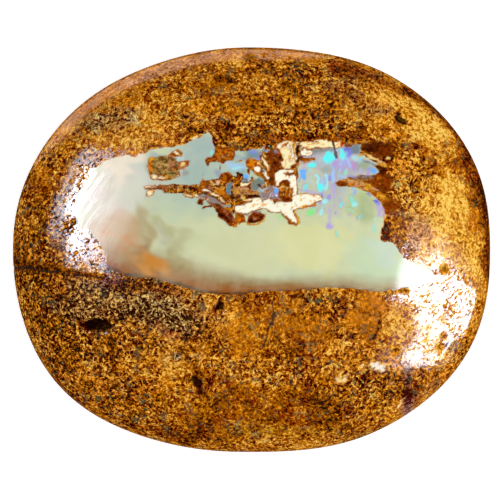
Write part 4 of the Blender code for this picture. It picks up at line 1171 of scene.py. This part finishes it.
# %% The milky ground: colour, middle, half length, half width, turn, strength
OPAL_GROUND = paint("#D1D6AB")
OPAL_WASHES = [
    ("#A9BEB4", (-2.9, 4.4), 3.6, 2.0, 12, 0.95),
    ("#A4BAB8", (-2.6, 5.5), 1.6, 1.0, 20, 0.7),
    ("#B4C8B0", (-2.4, 2.4), 3.2, 1.2, 0, 0.6),
    ("#C8C6B6", (-6.6, 3.4), 1.9, 1.6, 0, 0.85),
    ("#F0DCC2", (-6.9, 4.7), 1.1, 0.6, 0, 0.8),
    ("#D8C4B8", (-8.4, 2.6), 1.3, 2.4, 0, 0.8),
    ("#C2966C", (-7.4, 0.3), 1.3, 1.9, 0, 0.95),
    ("#B4A074", (-6.1, 1.0), 0.6, 1.6, 0, 0.8),
    ("#A07A4C", (-6.2, -0.4), 0.8, 0.9, 0, 0.8),
    ("#B0703C", (-7.0, -1.0), 1.3, 0.5, -10, 0.9),
    ("#D27A2A", (-7.6, -0.3), 1.3, 0.9, 0, 0.95),
    ("#AAA46C", (-4.9, 1.2), 0.8, 0.5, -50, 0.6),
    ("#A89E6E", (-4.0, -0.2), 0.7, 1.0, 0, 0.6),
    ("#C6C4B2", (-5.0, 0.8), 0.5, 0.7, 20, 0.5),
    ("#D6D8A8", (-0.6, 0.1), 2.4, 1.2, 0, 0.6),
    ("#DEDEA0", (3.4, 0.2), 2.8, 1.0, 0, 0.8),
    ("#C6DCB8", (7.0, -0.8), 1.8, 1.6, 0, 0.8),
    ("#C8DCD0", (7.6, 0.2), 0.8, 0.7, 0, 0.6),
    ("#C2CCAE", (2.0, -1.7), 6.0, 0.5, 0, 0.5),
    ("#B8B2C0", (4.8, 4.8), 2.7, 1.3, -6, 0.95),
    ("#B6B8B8", (4.3, 3.0), 1.2, 1.2, 0, 0.7),
    ("#9AA88C", (6.3, 4.5), 0.6, 0.4, 0, 0.6),
    ("#7E8C84", (5.8, 5.6), 0.4, 0.3, 0, 0.7),
    ("#88928A", (3.2, 5.35), 0.8, 0.3, 0, 0.7),
    ("#B0C488", (6.2, 2.4), 0.8, 0.8, 0, 0.6),
    ("#7E94B4", (0.1, 5.3), 1.0, 0.3, 0, 0.7),
    ("#8C9CB0", (-4.9, 5.4), 0.9, 0.24, 0, 0.6),
    ("#8A98B0", (-1.3, 3.5), 0.5, 0.4, 0, 0.9),
    ("#6E827A", (0.3, 3.6), 0.5, 0.4, 0, 0.9),
    ("#A09CAC", (1.0, 3.2), 0.7, 0.4, 0, 0.9),
    ("#9C948C", (-2.0, 2.75), 0.6, 0.3, 0, 0.8),
]

# %% [markdown]
# ## Painting the blank
# All drawings end as attributes on the mesh's points: a few distances, and two colours. The hollows
# that the polish left, and the pits, are stored as a depth, which the last tree will press in.

# %% Wash the ironstone's tone, grit and tint
def wash(base, rows, patches):
    """Blends soft patches over a base, each a row of values, where they overlap in turn."""
    washed = np.tile(np.array(base), (count, 1))
    for kind, middle, half_length, half_width, turn, strength in patches:
        inside = oval(middle, half_length, half_width, turn, WANDER_X, WANDER_Y)
        edge = min(half_length, half_width)
        share = strength * soften(inside, -0.35 * edge, 0.55 * edge)
        washed += share[:, None] * (np.array(rows[kind]) - washed)
    return washed


def stone_row(kind):
    """A kind of ironstone as one row: tone, grit, tint, share of the tint."""
    tone, grit, tint, share = KINDS[kind]
    return (tone, grit, *paint(tint)[:3], share)


stone_rows = {kind: stone_row(kind) for kind in KINDS}
stone = wash(stone_rows["golden"], stone_rows, PATCHES)
for kind, distance, softness, strength in MARKS:
    share = strength * soften(distance + wander(0.5, 0.1, 9), -softness, softness)
    stone += share[:, None] * (np.array(stone_rows[kind]) - stone)
print("the ironstone's mean tone is", stone[:, 0].mean().round(3))

# %% Wash the opal's milk
opal_rows = {code: paint(code) for code, *rest in OPAL_WASHES}
opal = wash(OPAL_GROUND, opal_rows, OPAL_WASHES)

# %% Let rust bleed in from the lower wall: colour, reach, strength
BLED_RUST = (
    ("#926628", 2.0, 0.9),
    ("#9A581C", 0.95, 0.95),
    ("#4A1A02", 0.24, 0.95),
)
RUSTY_WEDGE = ("#D08A36", (-5.4, -1.05), 1.3, 0.75, -18, 0.95)
above_wall = -line(LOWER_WALL, 0.0)
stronger_west = 0.45 + 0.55 * soften(-X, -4.5, -1.0)
further_west = 0.5 + 0.5 * soften(-X, -1.0, 2.5)
for code, reach, strength in BLED_RUST:
    reach = reach * further_west
    share = strength * stronger_west * soften(-above_wall, -reach, -0.3 * reach)
    opal += share[:, None] * (np.array(paint(code)) - opal)
code, middle, half_length, half_width, turn, strength = RUSTY_WEDGE
wedge = soften(oval(middle, half_length, half_width, turn, WANDER_X, WANDER_Y), -0.2, 0.4)
opal += strength * wedge[:, None] * (np.array(paint(code)) - opal)
print("rust reaches up to", BLED_RUST[0][1], "mm above the lower wall")

# %% [markdown]
# The dabs are laid in order, each over the ones before it, as paint covers paint. A point keeps the
# colour it ends with and how far it is covered. A stone dab also takes its place away from the opal,
# and an opal dab gives it back, as long as that lies inside the window.

# %% Lay the dabs, and settle what is opal and what is stone
SEAM_WIDTH = 0.05
SEAM_SOFTNESS = 0.04
SEAM_STRENGTH = 0.75


def with_seams(dabs):
    """The dabs, with a thin brown seam under each pale shard, where it grew into the limonite."""
    for name, distance, softness, strength in dabs:
        if name in ("white", "cream"):
            yield "amber", distance + SEAM_WIDTH, SEAM_SOFTNESS, SEAM_STRENGTH * strength
        yield name, distance, softness, strength


window = patch(WINDOW)
in_opal = window.copy()
cover = np.zeros(count)
laid = np.zeros((count, 4))
for name, distance, softness, strength in with_seams(ALL_DABS):
    share = strength * soften(distance, -softness, softness)
    if name == "clear":
        cover *= 1 - share
        in_opal = np.minimum(in_opal, -distance)
        continue
    under = cover * (1 - share)
    cover = under + share
    pigment = np.array(paint({**STONE_PAINTS, **OPAL_PAINTS}[name]))
    both = laid * under[:, None] + pigment * share[:, None]
    laid = np.where(cover[:, None] > 0, both / np.maximum(cover, 0.0001)[:, None], laid)
    if name in STONE_PAINTS:
        in_opal = np.minimum(in_opal, -distance)
    else:
        in_opal = np.maximum(in_opal, np.minimum(distance, window))
print(f"{(cover > 0.5).mean():.0%} of the points carry a dab")

# %% [markdown]
# Where the stone was soft the polish dipped and left a shallow hollow, and where a clump of grains
# fell out it left an open pit. They are few, and each has a place of its own, so each is an oval
# with a depth. A hollow fades out softly, and a pit has steep and ragged walls.

# %% The hollows and the open pits: middle, half length, half width, turn, depth
HOLLOWS = (
    ((0.9, 3.2), 3.2, 1.5, -8, 0.20),
    ((-4.8, 4.7), 1.2, 1.0, 0, 0.08),
    ((7.1, 2.6), 1.4, 0.7, -50, 0.10),
)
PITS = (
    ((-8.55, -4.2), 0.85, 0.40, -6, 0.34),
    ((-3.05, -7.4), 0.50, 0.34, -55, 0.26),
    ((1.55, 2.95), 0.55, 0.30, 12, 0.24),
    ((8.4, 7.3), 0.48, 0.22, -30, 0.22),
    ((-1.75, -3.15), 0.42, 0.24, 65, 0.22),
)
HOLLOW_SOFTNESS = 1.5


def oval_share(middle, half_length, half_width, turn):
    """0 in the middle of an oval and 1 at its edge."""
    return 1 - oval(middle, half_length, half_width, turn) / min(half_length, half_width)


# %% Add up how deep each point lies
depth = np.zeros(count)
for middle, half_length, half_width, turn, deepest in HOLLOWS:
    share = oval_share(middle, half_length, half_width, turn)
    depth += deepest * np.maximum(0, 1 - share**2) ** HOLLOW_SOFTNESS
dull_pits = np.zeros(count)
ragged = wander(0.45, 0.3, 7)
for middle, half_length, half_width, turn, deepest in PITS:
    share = oval_share(middle, half_length, half_width, turn) + ragged
    dull_pits = np.maximum(dull_pits, soften(-share, -1.6, -1.25))
    depth += deepest * np.sqrt(np.maximum(0, 1 - np.maximum(share, 0) ** 2))
print(f"the deepest pit is {depth.max():.2f} mm deep")

# %% Let pale shards stand up in the hollows, and cut the cracks in
SHARD_RISE = 0.05
EVEN_LIGHTNESS = 0.3
CRACK_DEPTH = 0.03
cracks = all_of(CRACKS)
in_hollow = np.minimum(depth / SHARD_RISE, 1)
depth -= SHARD_RISE * in_hollow * cover * (laid[:, :3].mean(1) - EVEN_LIGHTNESS)
depth += CRACK_DEPTH * soften(cracks, -0.05, 0.02)

# %% Store the drawings on the blank
JUST_OVER_BEVEL = BEVEL_TOP + 0.01
on_back = Z < JUST_OVER_BEVEL
stone[on_back] = stone_rows["brown"]
in_opal[on_back] = -1.0
cover[on_back] = 0.0
depth[on_back] = 0.0
precious = soften(oval((4.9, 3.9), 2.9, 2.5, 0, WANDER_X, WANDER_Y), 0.0, 1.1)
numbers = {
    "in_opal": in_opal,
    "precious": precious,
    "dull": dull_pits,
    "cover": cover,
    "crack": cracks,
    "tone": stone[:, 0],
    "grit": stone[:, 1],
    "tinted": stone[:, 5],
    "depth": depth,
    "back": on_back.astype(float),
}
for name, values in numbers.items():
    attribute = blank.data.attributes.new(name, "FLOAT", "POINT")
    attribute.data.foreach_set("value", values.astype(np.float32))
colours = {"tint": np.hstack((stone[:, 2:5], np.ones((count, 1)))), "milk": opal, "laid": laid}
for name, values in colours.items():
    attribute = blank.data.attributes.new(name, "FLOAT_COLOR", "POINT")
    attribute.data.foreach_set("color", values.astype(np.float32).ravel())
print("attributes:", ", ".join([*numbers, *colours]))

# %% [markdown]
# ## Pressing in the relief
# Polishing leaves the hard parts high and the soft ones low, and opens tiny pits where grains fell
# out. They follow the surface and repeat by the hundred, so a second tree makes them: it lowers each
# point by its stored depth, and by small round pits that a Voronoi pattern strews over the ironstone.

# %% The tree that presses the relief in
PIT_SPACING = 0.9
PIT_SIZE = 0.17
PIT_DEPTH = 0.07
PIT_RARITY = 0.72


def named(sheet, name):
    """A number stored on the mesh's points."""
    return sheet.add("GeometryNodeInputNamedAttribute", {"data_type": "FLOAT"}, {"Name": name})


def relief_tree():
    """The tree that lowers the face by its stored depth and strews small pits over it."""
    tree = bpy.data.node_groups.new("press_in_the_relief", "GeometryNodeTree")
    tree.interface.new_socket("Geometry", in_out="INPUT", socket_type="NodeSocketGeometry")
    sizes = ("Pit Spacing", "Pit Size", "Pit Depth", "Pit Rarity")
    for name in sizes:
        tree.interface.new_socket(name, in_out="INPUT", socket_type="NodeSocketFloat")
    tree.interface.new_socket("Finish", in_out="INPUT", socket_type="NodeSocketMaterial")
    tree.interface.new_socket("Geometry", in_out="OUTPUT", socket_type="NodeSocketGeometry")

    sheet = Sheet(tree)
    given = sheet.add("NodeGroupInput")
    spacing, size, deepest, rarity = (given.beside(name) for name in sizes)
    place = sheet.add("GeometryNodeInputPosition")
    scale = {"Vector": place, "Scale": 1 / spacing, "Randomness": 1.0}
    cell = sheet.add("ShaderNodeTexVoronoi", {"voronoi_dimensions": "3D"}, scale)
    dice = sheet.add("ShaderNodeSeparateXYZ", None, {0: cell.beside("Color")})
    chosen = sheet.ease(dice, rarity, rarity + 0.02)
    reach = cell * spacing / (size * (0.5 + dice.beside("Y")))
    bowl = sheet.maths("MAXIMUM", 0.0, 1 - reach * reach) * chosen
    in_stone = sheet.ease(named(sheet, "in_opal"), -0.1, -0.25)
    on_face = 1 - named(sheet, "back")
    bowl = bowl * in_stone * on_face
    down = named(sheet, "depth") * MM + bowl * deepest
    normal = sheet.add("GeometryNodeInputNormal")
    offset = sheet.add("ShaderNodeVectorMath", {"operation": "SCALE"}, {0: normal, "Scale": -1 * down})
    sockets = {"Geometry": given.beside("Geometry"), "Offset": offset}
    mesh = sheet.add("GeometryNodeSetPosition", None, sockets)
    halo = sheet.ease(reach, 2.0, 1.3) * chosen * in_stone * on_face
    for name, value in (("pit", bowl), ("pit_halo", halo)):
        sockets = {"Geometry": mesh, "Name": name, "Value": value}
        mesh = sheet.add("GeometryNodeStoreNamedAttribute", {"data_type": "FLOAT"}, sockets)
    mesh = sheet.add("GeometryNodeRealizeInstances", None, {"Geometry": mesh})
    sockets = {"Geometry": mesh, "Material": given.beside("Finish")}
    mesh = sheet.add("GeometryNodeSetMaterial", None, sockets)
    sheet.add("NodeGroupOutput", None, {"Geometry": mesh})
    return tree


RELIEF = {
    "Pit Spacing": PIT_SPACING * MM,
    "Pit Size": PIT_SIZE * MM,
    "Pit Depth": PIT_DEPTH * MM,
    "Pit Rarity": PIT_RARITY,
    "Finish": finish,
}
cabochon = run_tree("cabochon", relief_tree(), RELIEF, start=blank.data)
bpy.data.objects.remove(blank)
cabochon.data.shade_smooth()
print(f"the cabochon has {len(cabochon.data.vertices)} vertices")

# %% Keep the back and the bevel crisp
corners = np.empty(count * 3)
cabochon.data.vertices.foreach_get("co", corners)
heights = corners.reshape(count, 3)[:, 2] / MM
pairs = np.empty(len(cabochon.data.edges) * 2, int)
cabochon.data.edges.foreach_get("vertices", pairs)
pairs = pairs.reshape(-1, 2)
level = np.abs(heights[pairs[:, 0]] - heights[pairs[:, 1]]) < 0.001
low = heights[pairs].max(1) < JUST_OVER_BEVEL
sharp = cabochon.data.attributes.new("sharp_edge", "BOOLEAN", "EDGE")
sharp.data.foreach_set("value", level & low)

# %% [markdown]
# ## The finish
# One material holds both minerals, because they were polished as one surface: a Mix Shader turns
# from ironstone to opal where the stored distance says. The ironstone's grain comes from noise at
# the size of real grains, 0.2 mm. Hard grains take a mirror polish and soft ochre grains stay dull,
# which is what breaks up the reflections over it, while the opal is even and glassy.

# %% Helpers for the finish
finish.use_nodes = True
finish.node_tree.nodes.clear()
sheet = Sheet(finish.node_tree)
object_place = sheet.add("ShaderNodeTexCoord", None, None, "Object")
place = sheet.add("ShaderNodeVectorMath", {"operation": "SCALE"}, {0: object_place, "Scale": 1 / MM})


def number(name):
    """A number painted on the stone."""
    return sheet.add("ShaderNodeAttribute", {"attribute_name": name}, None, "Fac")


def colour(name):
    """A colour painted on the stone."""
    return sheet.add("ShaderNodeAttribute", {"attribute_name": name}, None, "Color")


def noise(per_mm, detail=2.0, rough=0.5, twist=0.0, where=place):
    """Cloudy noise, so many lumps to the millimetre."""
    sockets = {"Vector": where, "Scale": per_mm, "Detail": detail, "Roughness": rough, "Distortion": twist}
    return sheet.add("ShaderNodeTexNoise", None, sockets)


def stretched(turn, along, across):
    """Places turned and stretched, for grain that runs one way."""
    sizes = (1 / along, 1 / across, 1.0)
    sockets = {"Vector": place, "Rotation": (0, 0, math.radians(turn)), "Scale": sizes}
    return sheet.add("ShaderNodeMapping", {"vector_type": "TEXTURE"}, sockets)


def ramp(stops, value):
    """A row of colours, each at its own place, read at a value."""
    stops = [(at, paint(code)) for at, code in stops]
    return sheet.add("ShaderNodeValToRGB", {"stops": stops}, {"Fac": value})


# %% [markdown]
# Ironstone is made of grains bound by iron oxides, so its colour jumps from grain to grain. Noise at
# three sizes gives that everywhere at once: crumbs for the grains, lumps for clots of them, and
# worms for the thin winding threads between. Their sum strays from the tone of the zone, and the
# tone is then looked up on one row of colours.

# %% The grain of the ironstone
CRUMBS_PER_MM = 5.6
LUMPS_PER_MM = 2.8
WORMS_PER_MM = 2.6
WORM_WIDTH = 0.07
crumbs = noise(CRUMBS_PER_MM, 1.0, 0.5, 0.4)
lumps = noise(LUMPS_PER_MM, 1.0, 0.5, 1.2)
worms = noise(WORMS_PER_MM, 2.0, 0.55, 1.6)
ridges = 1 - sheet.ease(sheet.maths("ABSOLUTE", worms - 0.5), 0.0, WORM_WIDTH)
grain = (crumbs - 0.5) * 4.3 + (lumps - 0.5) * 1.8 + (ridges - 0.3) * 1.3
cloud = (noise(0.9, 2.0) - 0.5) * 0.7 + (noise(0.33, 1.0) - 0.5) * 0.35
print(f"the finest grains are about {1 / CRUMBS_PER_MM:.2f} mm across")

# %% The row of iron minerals, from black oxide through rust to pale ochre
IRON_ROW = (
    (0.00, "#240400"),
    (0.12, "#4C0C00"),
    (0.26, "#722200"),
    (0.40, "#943E00"),
    (0.55, "#B06204"),
    (0.70, "#D08416"),
    (0.85, "#F2AE30"),
    (1.00, "#FFD266"),
)
DARKER_BY = 0.03
iron_tone = number("tone") - DARKER_BY + grain * number("grit") + cloud
tinted = number("tinted") * sheet.ease(iron_tone, 0.1, 0.5)
body = sheet.mix(tinted, ramp(IRON_ROW, iron_tone), colour("tint"), "COLOR")


# %% Stains over the grain
def stain(per_mm, detail, rough, twist, low, high, share):
    """How much of a stain lies here: patches of cloudy noise, up to a share."""
    return sheet.ease(noise(per_mm, detail, rough, twist), low, high) * share


sunny = sheet.ease(number("tone"), 0.6, 0.8)
dusky = sheet.ease(number("tone"), 0.4, 0.2)
plain = (1 - tinted) * (1 - sunny)
reddened = stain(0.42, 5.0, 0.65, 0.0, 0.49, 0.62, 0.45) * plain
greyed = stain(2.0, 3.0, 0.6, 1.0, 0.54, 0.66, 0.42) * (1 - sunny) * (1 - dusky)
gilded = stain(0.8, 4.0, 0.65, 0.3, 0.46, 0.56, 0.55) * plain
body = sheet.mix(reddened, body, paint("#D06C00"), "COLOR")
body = sheet.mix(greyed, body, paint("#5E7450"))
body = sheet.mix(gilded, body, paint("#C67400"), "COLOR")

# %% [markdown]
# Most of this opal is milky. Only in its precious part do stacked spheres of silica split the light
# into small patches of pure colour. Voronoi cells have the shape of such patches, so some of them
# take a colour by chance, and the dabs add the ones that stand out.

# %% The opal's milk, and small tiles of the play of colour
TILES_PER_MM = 3.4
TILE_ROW = (
    (0.00, "#66F4FF"),
    (0.35, "#8CC4FF"),
    (0.55, "#9A8CEC"),
    (0.75, "#CCA8E0"),
    (1.00, "#98ECC4"),
)
TILE_STRENGTH = 0.8
clouds = sheet.ease(noise(0.5, 4.0, 0.55, 0.6), 0.35, 0.7) * 0.2
milk = sheet.mix(clouds, colour("milk"), paint("#EEF0CC"))
tile_places = stretched(75, 0.8, 1.5)
tiles = sheet.add("ShaderNodeTexVoronoi", None, {"Vector": tile_places, "Scale": TILES_PER_MM})
tile_dice = sheet.add("ShaderNodeSeparateXYZ", None, {0: tiles.beside("Color")})
tile_share = sheet.ease(tile_dice.beside("Y"), 0.5, 0.75) * sheet.ease(tiles, 0.75, 0.45)
tile_share = tile_share * number("precious") * TILE_STRENGTH
milk = sheet.mix(tile_share, milk, ramp(TILE_ROW, tile_dice))

# %% The edge between the two minerals
EDGE_SOFTNESS = 0.025
EDGE_RAGGEDNESS = 0.12
edge = number("in_opal") + (noise(4.0, 3.0, 0.6) - 0.5) * EDGE_RAGGEDNESS
in_window = sheet.ease(edge, -EDGE_SOFTNESS, EDGE_SOFTNESS)
in_stone = 1 - in_window
base = sheet.mix(in_window, body, milk)

# %% The dabs, with fibres in the pale ones and grit in the dark ones
warmed = sheet.mix(1.0, colour("laid"), paint("#F4B440"), "MULTIPLY")
charred = sheet.mix(1.0, colour("laid"), paint("#7A3C14"), "MULTIPLY")
fibres = sheet.ease(noise(2.6, 3.0, 0.65, 0.3, stretched(28, 1.0, 2.2)), 0.57, 0.64)
green = sheet.add("ShaderNodeSeparateColor", None, {"Color": colour("laid")}, "Green")
pale = sheet.ease(green, 0.2, 0.55)
gritty = sheet.ease(crumbs, 0.47, 0.56) * 0.75 * (1 - pale)
dabs = sheet.mix(fibres * in_stone, colour("laid"), warmed)
dabs = sheet.mix(gritty * in_stone, dabs, charred)
base = sheet.mix(number("cover"), base, dabs)

# %% [markdown]
# Painted shade: the stone is darkened low on the rim, where the dome turns down, and in the cracks
# and the pits, where shade falls. Each of these places is already stored as a distance or a depth,
# so it only takes a share of a dark colour.

# %% Painted shade on the rim, in the cracks and in the pits
east = sheet.add("ShaderNodeSeparateXYZ", None, {0: place})
# Painted shade low on the rim, where the dome turns down.
rim = sheet.ease(east.beside("Z"), GIRDLE_TOP + 0.6, GIRDLE_TOP) * in_stone
crack = sheet.ease(number("crack"), -0.06, 0.0)
shade_in_small_pits = sheet.ease(number("pit"), 0.2, 0.8)
bare_stone = in_stone * (1 - number("cover"))
shade_in_open_pits = sheet.ease(number("depth"), 0.09, 0.18) * number("dull") * bare_stone
# Shares of dark colour that stand for shade in these places: painted shade.
PAINTED_SHADE = (
    (rim * 0.4, "#2A1206"),
    (crack * 0.8, "#2A1E1C"),
    (shade_in_small_pits * 0.6, "#200A04"),
    (shade_in_open_pits * 0.92, "#120402"),
)
for share, code in PAINTED_SHADE:
    base = sheet.mix(share, base, paint(code))

# %% [markdown]
# A polish follows the hardness: hard iron grains shine, soft ochre ones stay dull, and the opal is
# glassy, with some light scattered inside it. Blending the numbers of one shader would make half
# dull grains between them, so each polish is a shader of its own, and masks choose one.

# %% The three polishes, and the fine scratches at the west end of the opal
STONE_IOR = 1.9
OPAL_IOR = 1.45
HARD_ROUGHNESS = 0.1
SOFT_ROUGHNESS = 0.8
OPAL_ROUGHNESS = 0.11
SCRATCH_ROUGHNESS = 0.24
scratched = sheet.ease(east, -6.6, -8.2)
scratches = sheet.ease(noise(1.5, 3.0, 0.6, 0.2, stretched(56, 0.3, 3.0)), 0.49, 0.64) * scratched
grain_bump = sheet.add("ShaderNodeBump", None, {"Strength": 0.03, "Distance": 0.02 * MM, "Height": grain})
hard_grains = sheet.add("ShaderNodeBsdfPrincipled", None, {
    "Base Color": base,
    "Roughness": HARD_ROUGHNESS,
    "IOR": STONE_IOR,
    "Normal": grain_bump,
})
soft_grains = sheet.add("ShaderNodeBsdfPrincipled", None, {
    "Base Color": base,
    "Roughness": SOFT_ROUGHNESS,
    "Specular IOR Level": 0.0,
    "Normal": grain_bump,
})
opal_glass = sheet.add("ShaderNodeBsdfPrincipled", None, {
    "Base Color": base,
    "Roughness": scratches * SCRATCH_ROUGHNESS + OPAL_ROUGHNESS,
    "IOR": OPAL_IOR,
    "Subsurface Weight": 0.15,
    "Subsurface Radius": (1.0, 0.9, 0.8),
    "Subsurface Scale": 0.3 * MM,
})

# %% All three as one polished surface
soft_places = noise(CRUMBS_PER_MM, 2.0, 0.6, 0.6, stretched(35, 0.8, 1.25))
soft_clusters = (noise(1.1, 1.0) - 0.5) * 0.35
soft = sheet.ease(soft_places + soft_clusters, 0.5, 0.56) * sheet.ease(number("grit"), 0.08, 0.24)
sheltered = sheet.ease(number("depth"), 0.005, 0.03)
near_crack = sheet.ease(number("crack"), -0.22, -0.1)
DULLED = (sheltered, near_crack, number("pit_halo"), number("dull"), number("back"), number("cover") * 0.8)
for dulled in DULLED:
    soft = sheet.maths("MAXIMUM", soft, dulled)
ironstone = sheet.add("ShaderNodeMixShader", None, {0: soft, 1: hard_grains, 2: soft_grains})
surface = sheet.add("ShaderNodeMixShader", None, {0: in_window, 1: ironstone, 2: opal_glass})
surface = sheet.add("ShaderNodeMixShader", None, {0: crack, 1: surface, 2: soft_grains})
sheet.add("ShaderNodeOutputMaterial", None, {"Surface": surface})
print("the finish has", len(finish.node_tree.nodes), "nodes")

# %% Hand the stone to the frame
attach(cabochon, "root")
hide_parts("boulder_opal")

# %% [markdown]
# ## The picture
# The stone lies on a white table that glows a little, as a photographer's light table does, so that
# no shadow falls beside it. A highlight on a dome is the picture of a lamp, so its shape is built
# from a few softbox panels at the left and a few at the right. Each is placed by its direction from
# the stone, and has a distance of its own, because panels in one plane would hide one another. They
# are seen only in the polish. Two wide fills, which the polish doesn't mirror, give the plain light.

# %% The camera, straight above the stone
LENS = 250.0
SENSOR = 36.0
FRAME_WIDTH = 28.3
FRAME_MIDDLE = (-0.085, -0.017)
camera_data = bpy.data.cameras.new("camera")
camera_data.lens = LENS
camera_data.sensor_width = SENSOR
camera_data.clip_start = 10 * MM
camera_data.clip_end = 5.0
camera = bpy.data.objects.new("camera", camera_data)
distance = FRAME_WIDTH * LENS / SENSOR + GIRDLE_TOP
camera.location = (FRAME_MIDDLE[0] * MM, FRAME_MIDDLE[1] * MM, distance * MM)
bpy.context.scene.collection.objects.link(camera)
bpy.context.scene.camera = camera


# %% How a softbox is placed
def facing(azimuth, elevation):
    """The direction away from the stone, and a light's turn when it faces the stone from there."""
    azimuth = math.radians(azimuth)
    elevation = math.radians(elevation)
    level = math.cos(elevation)
    away = Vector((level * math.cos(azimuth), level * math.sin(azimuth), math.sin(elevation)))
    return away, away.to_track_quat("Z", "Y")


def softbox(name, towards, aside, size, brightness, far, tint):
    """An area light so far away, in mm; its offset and its size are shares of that distance."""
    away, turn = facing(*towards)
    data = bpy.data.lights.new(name, "AREA")
    data.shape = "RECTANGLE"
    data.size = size[0] * far * MM
    data.size_y = size[1] * far * MM
    data.energy = brightness * math.pi * data.size * data.size_y
    data.color = tint
    light = bpy.data.objects.new(name, data)
    light.location = (away + turn @ Vector((*aside, 0.0))) * far * MM
    light.rotation_mode = "QUATERNION"
    light.rotation_quaternion = turn
    bpy.context.scene.collection.objects.link(light)
    return light


# %% The panels that shine in the polish, and the fills
LEFT = (160, 50)
RIGHT = (-22, 35)
BEHIND = (115, -28)
COOL = (0.9, 0.97, 1.12)
WARM = (1.0, 0.6, 0.42)
WHITE = (1.0, 1.0, 1.0)
CENTRED = (0.0, 0.0)
SQUARE = (1.0, 1.0)
FILL_DISTANCE = 400
SHINES = (
    softbox("left_long", LEFT, (0.06, -0.03), (0.46, 0.13), 11.0, 250, COOL),
    softbox("left_block", LEFT, (0.13, 0.11), (0.3, 0.17), 5.5, 260, COOL),
    softbox("left_edge", LEFT, (-0.04, -0.14), (0.28, 0.12), 16.0, 270, COOL),
    softbox("left_veil", LEFT, (-0.03, -0.05), (0.54, 0.66), 3.4, 280, COOL),
    softbox("right_tall", RIGHT, (0.105, -0.29), (0.35, 1.0), 13.0, 250, COOL),
    softbox("right_foot", RIGHT, (-0.21, -0.16), (0.26, 0.56), 10.0, 240, COOL),
    softbox("right_top", RIGHT, (0.13, 0.31), (0.17, 0.26), 23.0, 260, COOL),
    softbox("right_veil", RIGHT, (0.0, -0.3), (0.7, 1.2), 0.8, 270, COOL),
    softbox("rim_glow", BEHIND, CENTRED, (1.2, 0.8), 1.6, 280, WARM),
)
for light in SHINES:
    light.visible_diffuse = False
FILLS = (
    softbox("left_fill", (150, 55), CENTRED, SQUARE, 1.62, FILL_DISTANCE, WHITE),
    softbox("right_fill", (-25, 45), CENTRED, SQUARE, 2.2, FILL_DISTANCE, WHITE),
)
for light in FILLS:
    light.visible_glossy = False
print(len(SHINES), "panels shine and", len(FILLS), "fills light the stone")

# %% The light table
TABLE_HALF = 600
TABLE_BELOW = 0.02
TABLE_GLOW = 0.5
half = TABLE_HALF * MM
table_mesh = bpy.data.meshes.new("table")
table_corners = [(-half, -half, 0), (half, -half, 0), (half, half, 0), (-half, half, 0)]
table_mesh.from_pydata(table_corners, [], [(0, 1, 2, 3)])
table = bpy.data.objects.new("table", table_mesh)
table.location.z = -TABLE_BELOW * MM
table.visible_glossy = False
bpy.context.scene.collection.objects.link(table)
table_finish = bpy.data.materials.new("light_table")
table_finish.use_nodes = True
shader = table_finish.node_tree.nodes["Principled BSDF"]
shader.inputs["Base Color"].default_value = (0.9, 0.9, 0.9, 1)
shader.inputs["Roughness"].default_value = 0.9
shader.inputs["Emission Color"].default_value = (1, 1, 1, 1)
shader.inputs["Emission Strength"].default_value = TABLE_GLOW
table_mesh.materials.append(table_finish)

# %% The air of the studio
AIR_GLOW = 0.3
world = bpy.data.worlds.new("studio")
world.use_nodes = True
world.node_tree.nodes["Background"].inputs["Color"].default_value = (1, 1, 1, 1)
world.node_tree.nodes["Background"].inputs["Strength"].default_value = AIR_GLOW
world.cycles_visibility.glossy = False
bpy.context.scene.world = world
bpy.context.scene.view_settings.view_transform = "Standard"
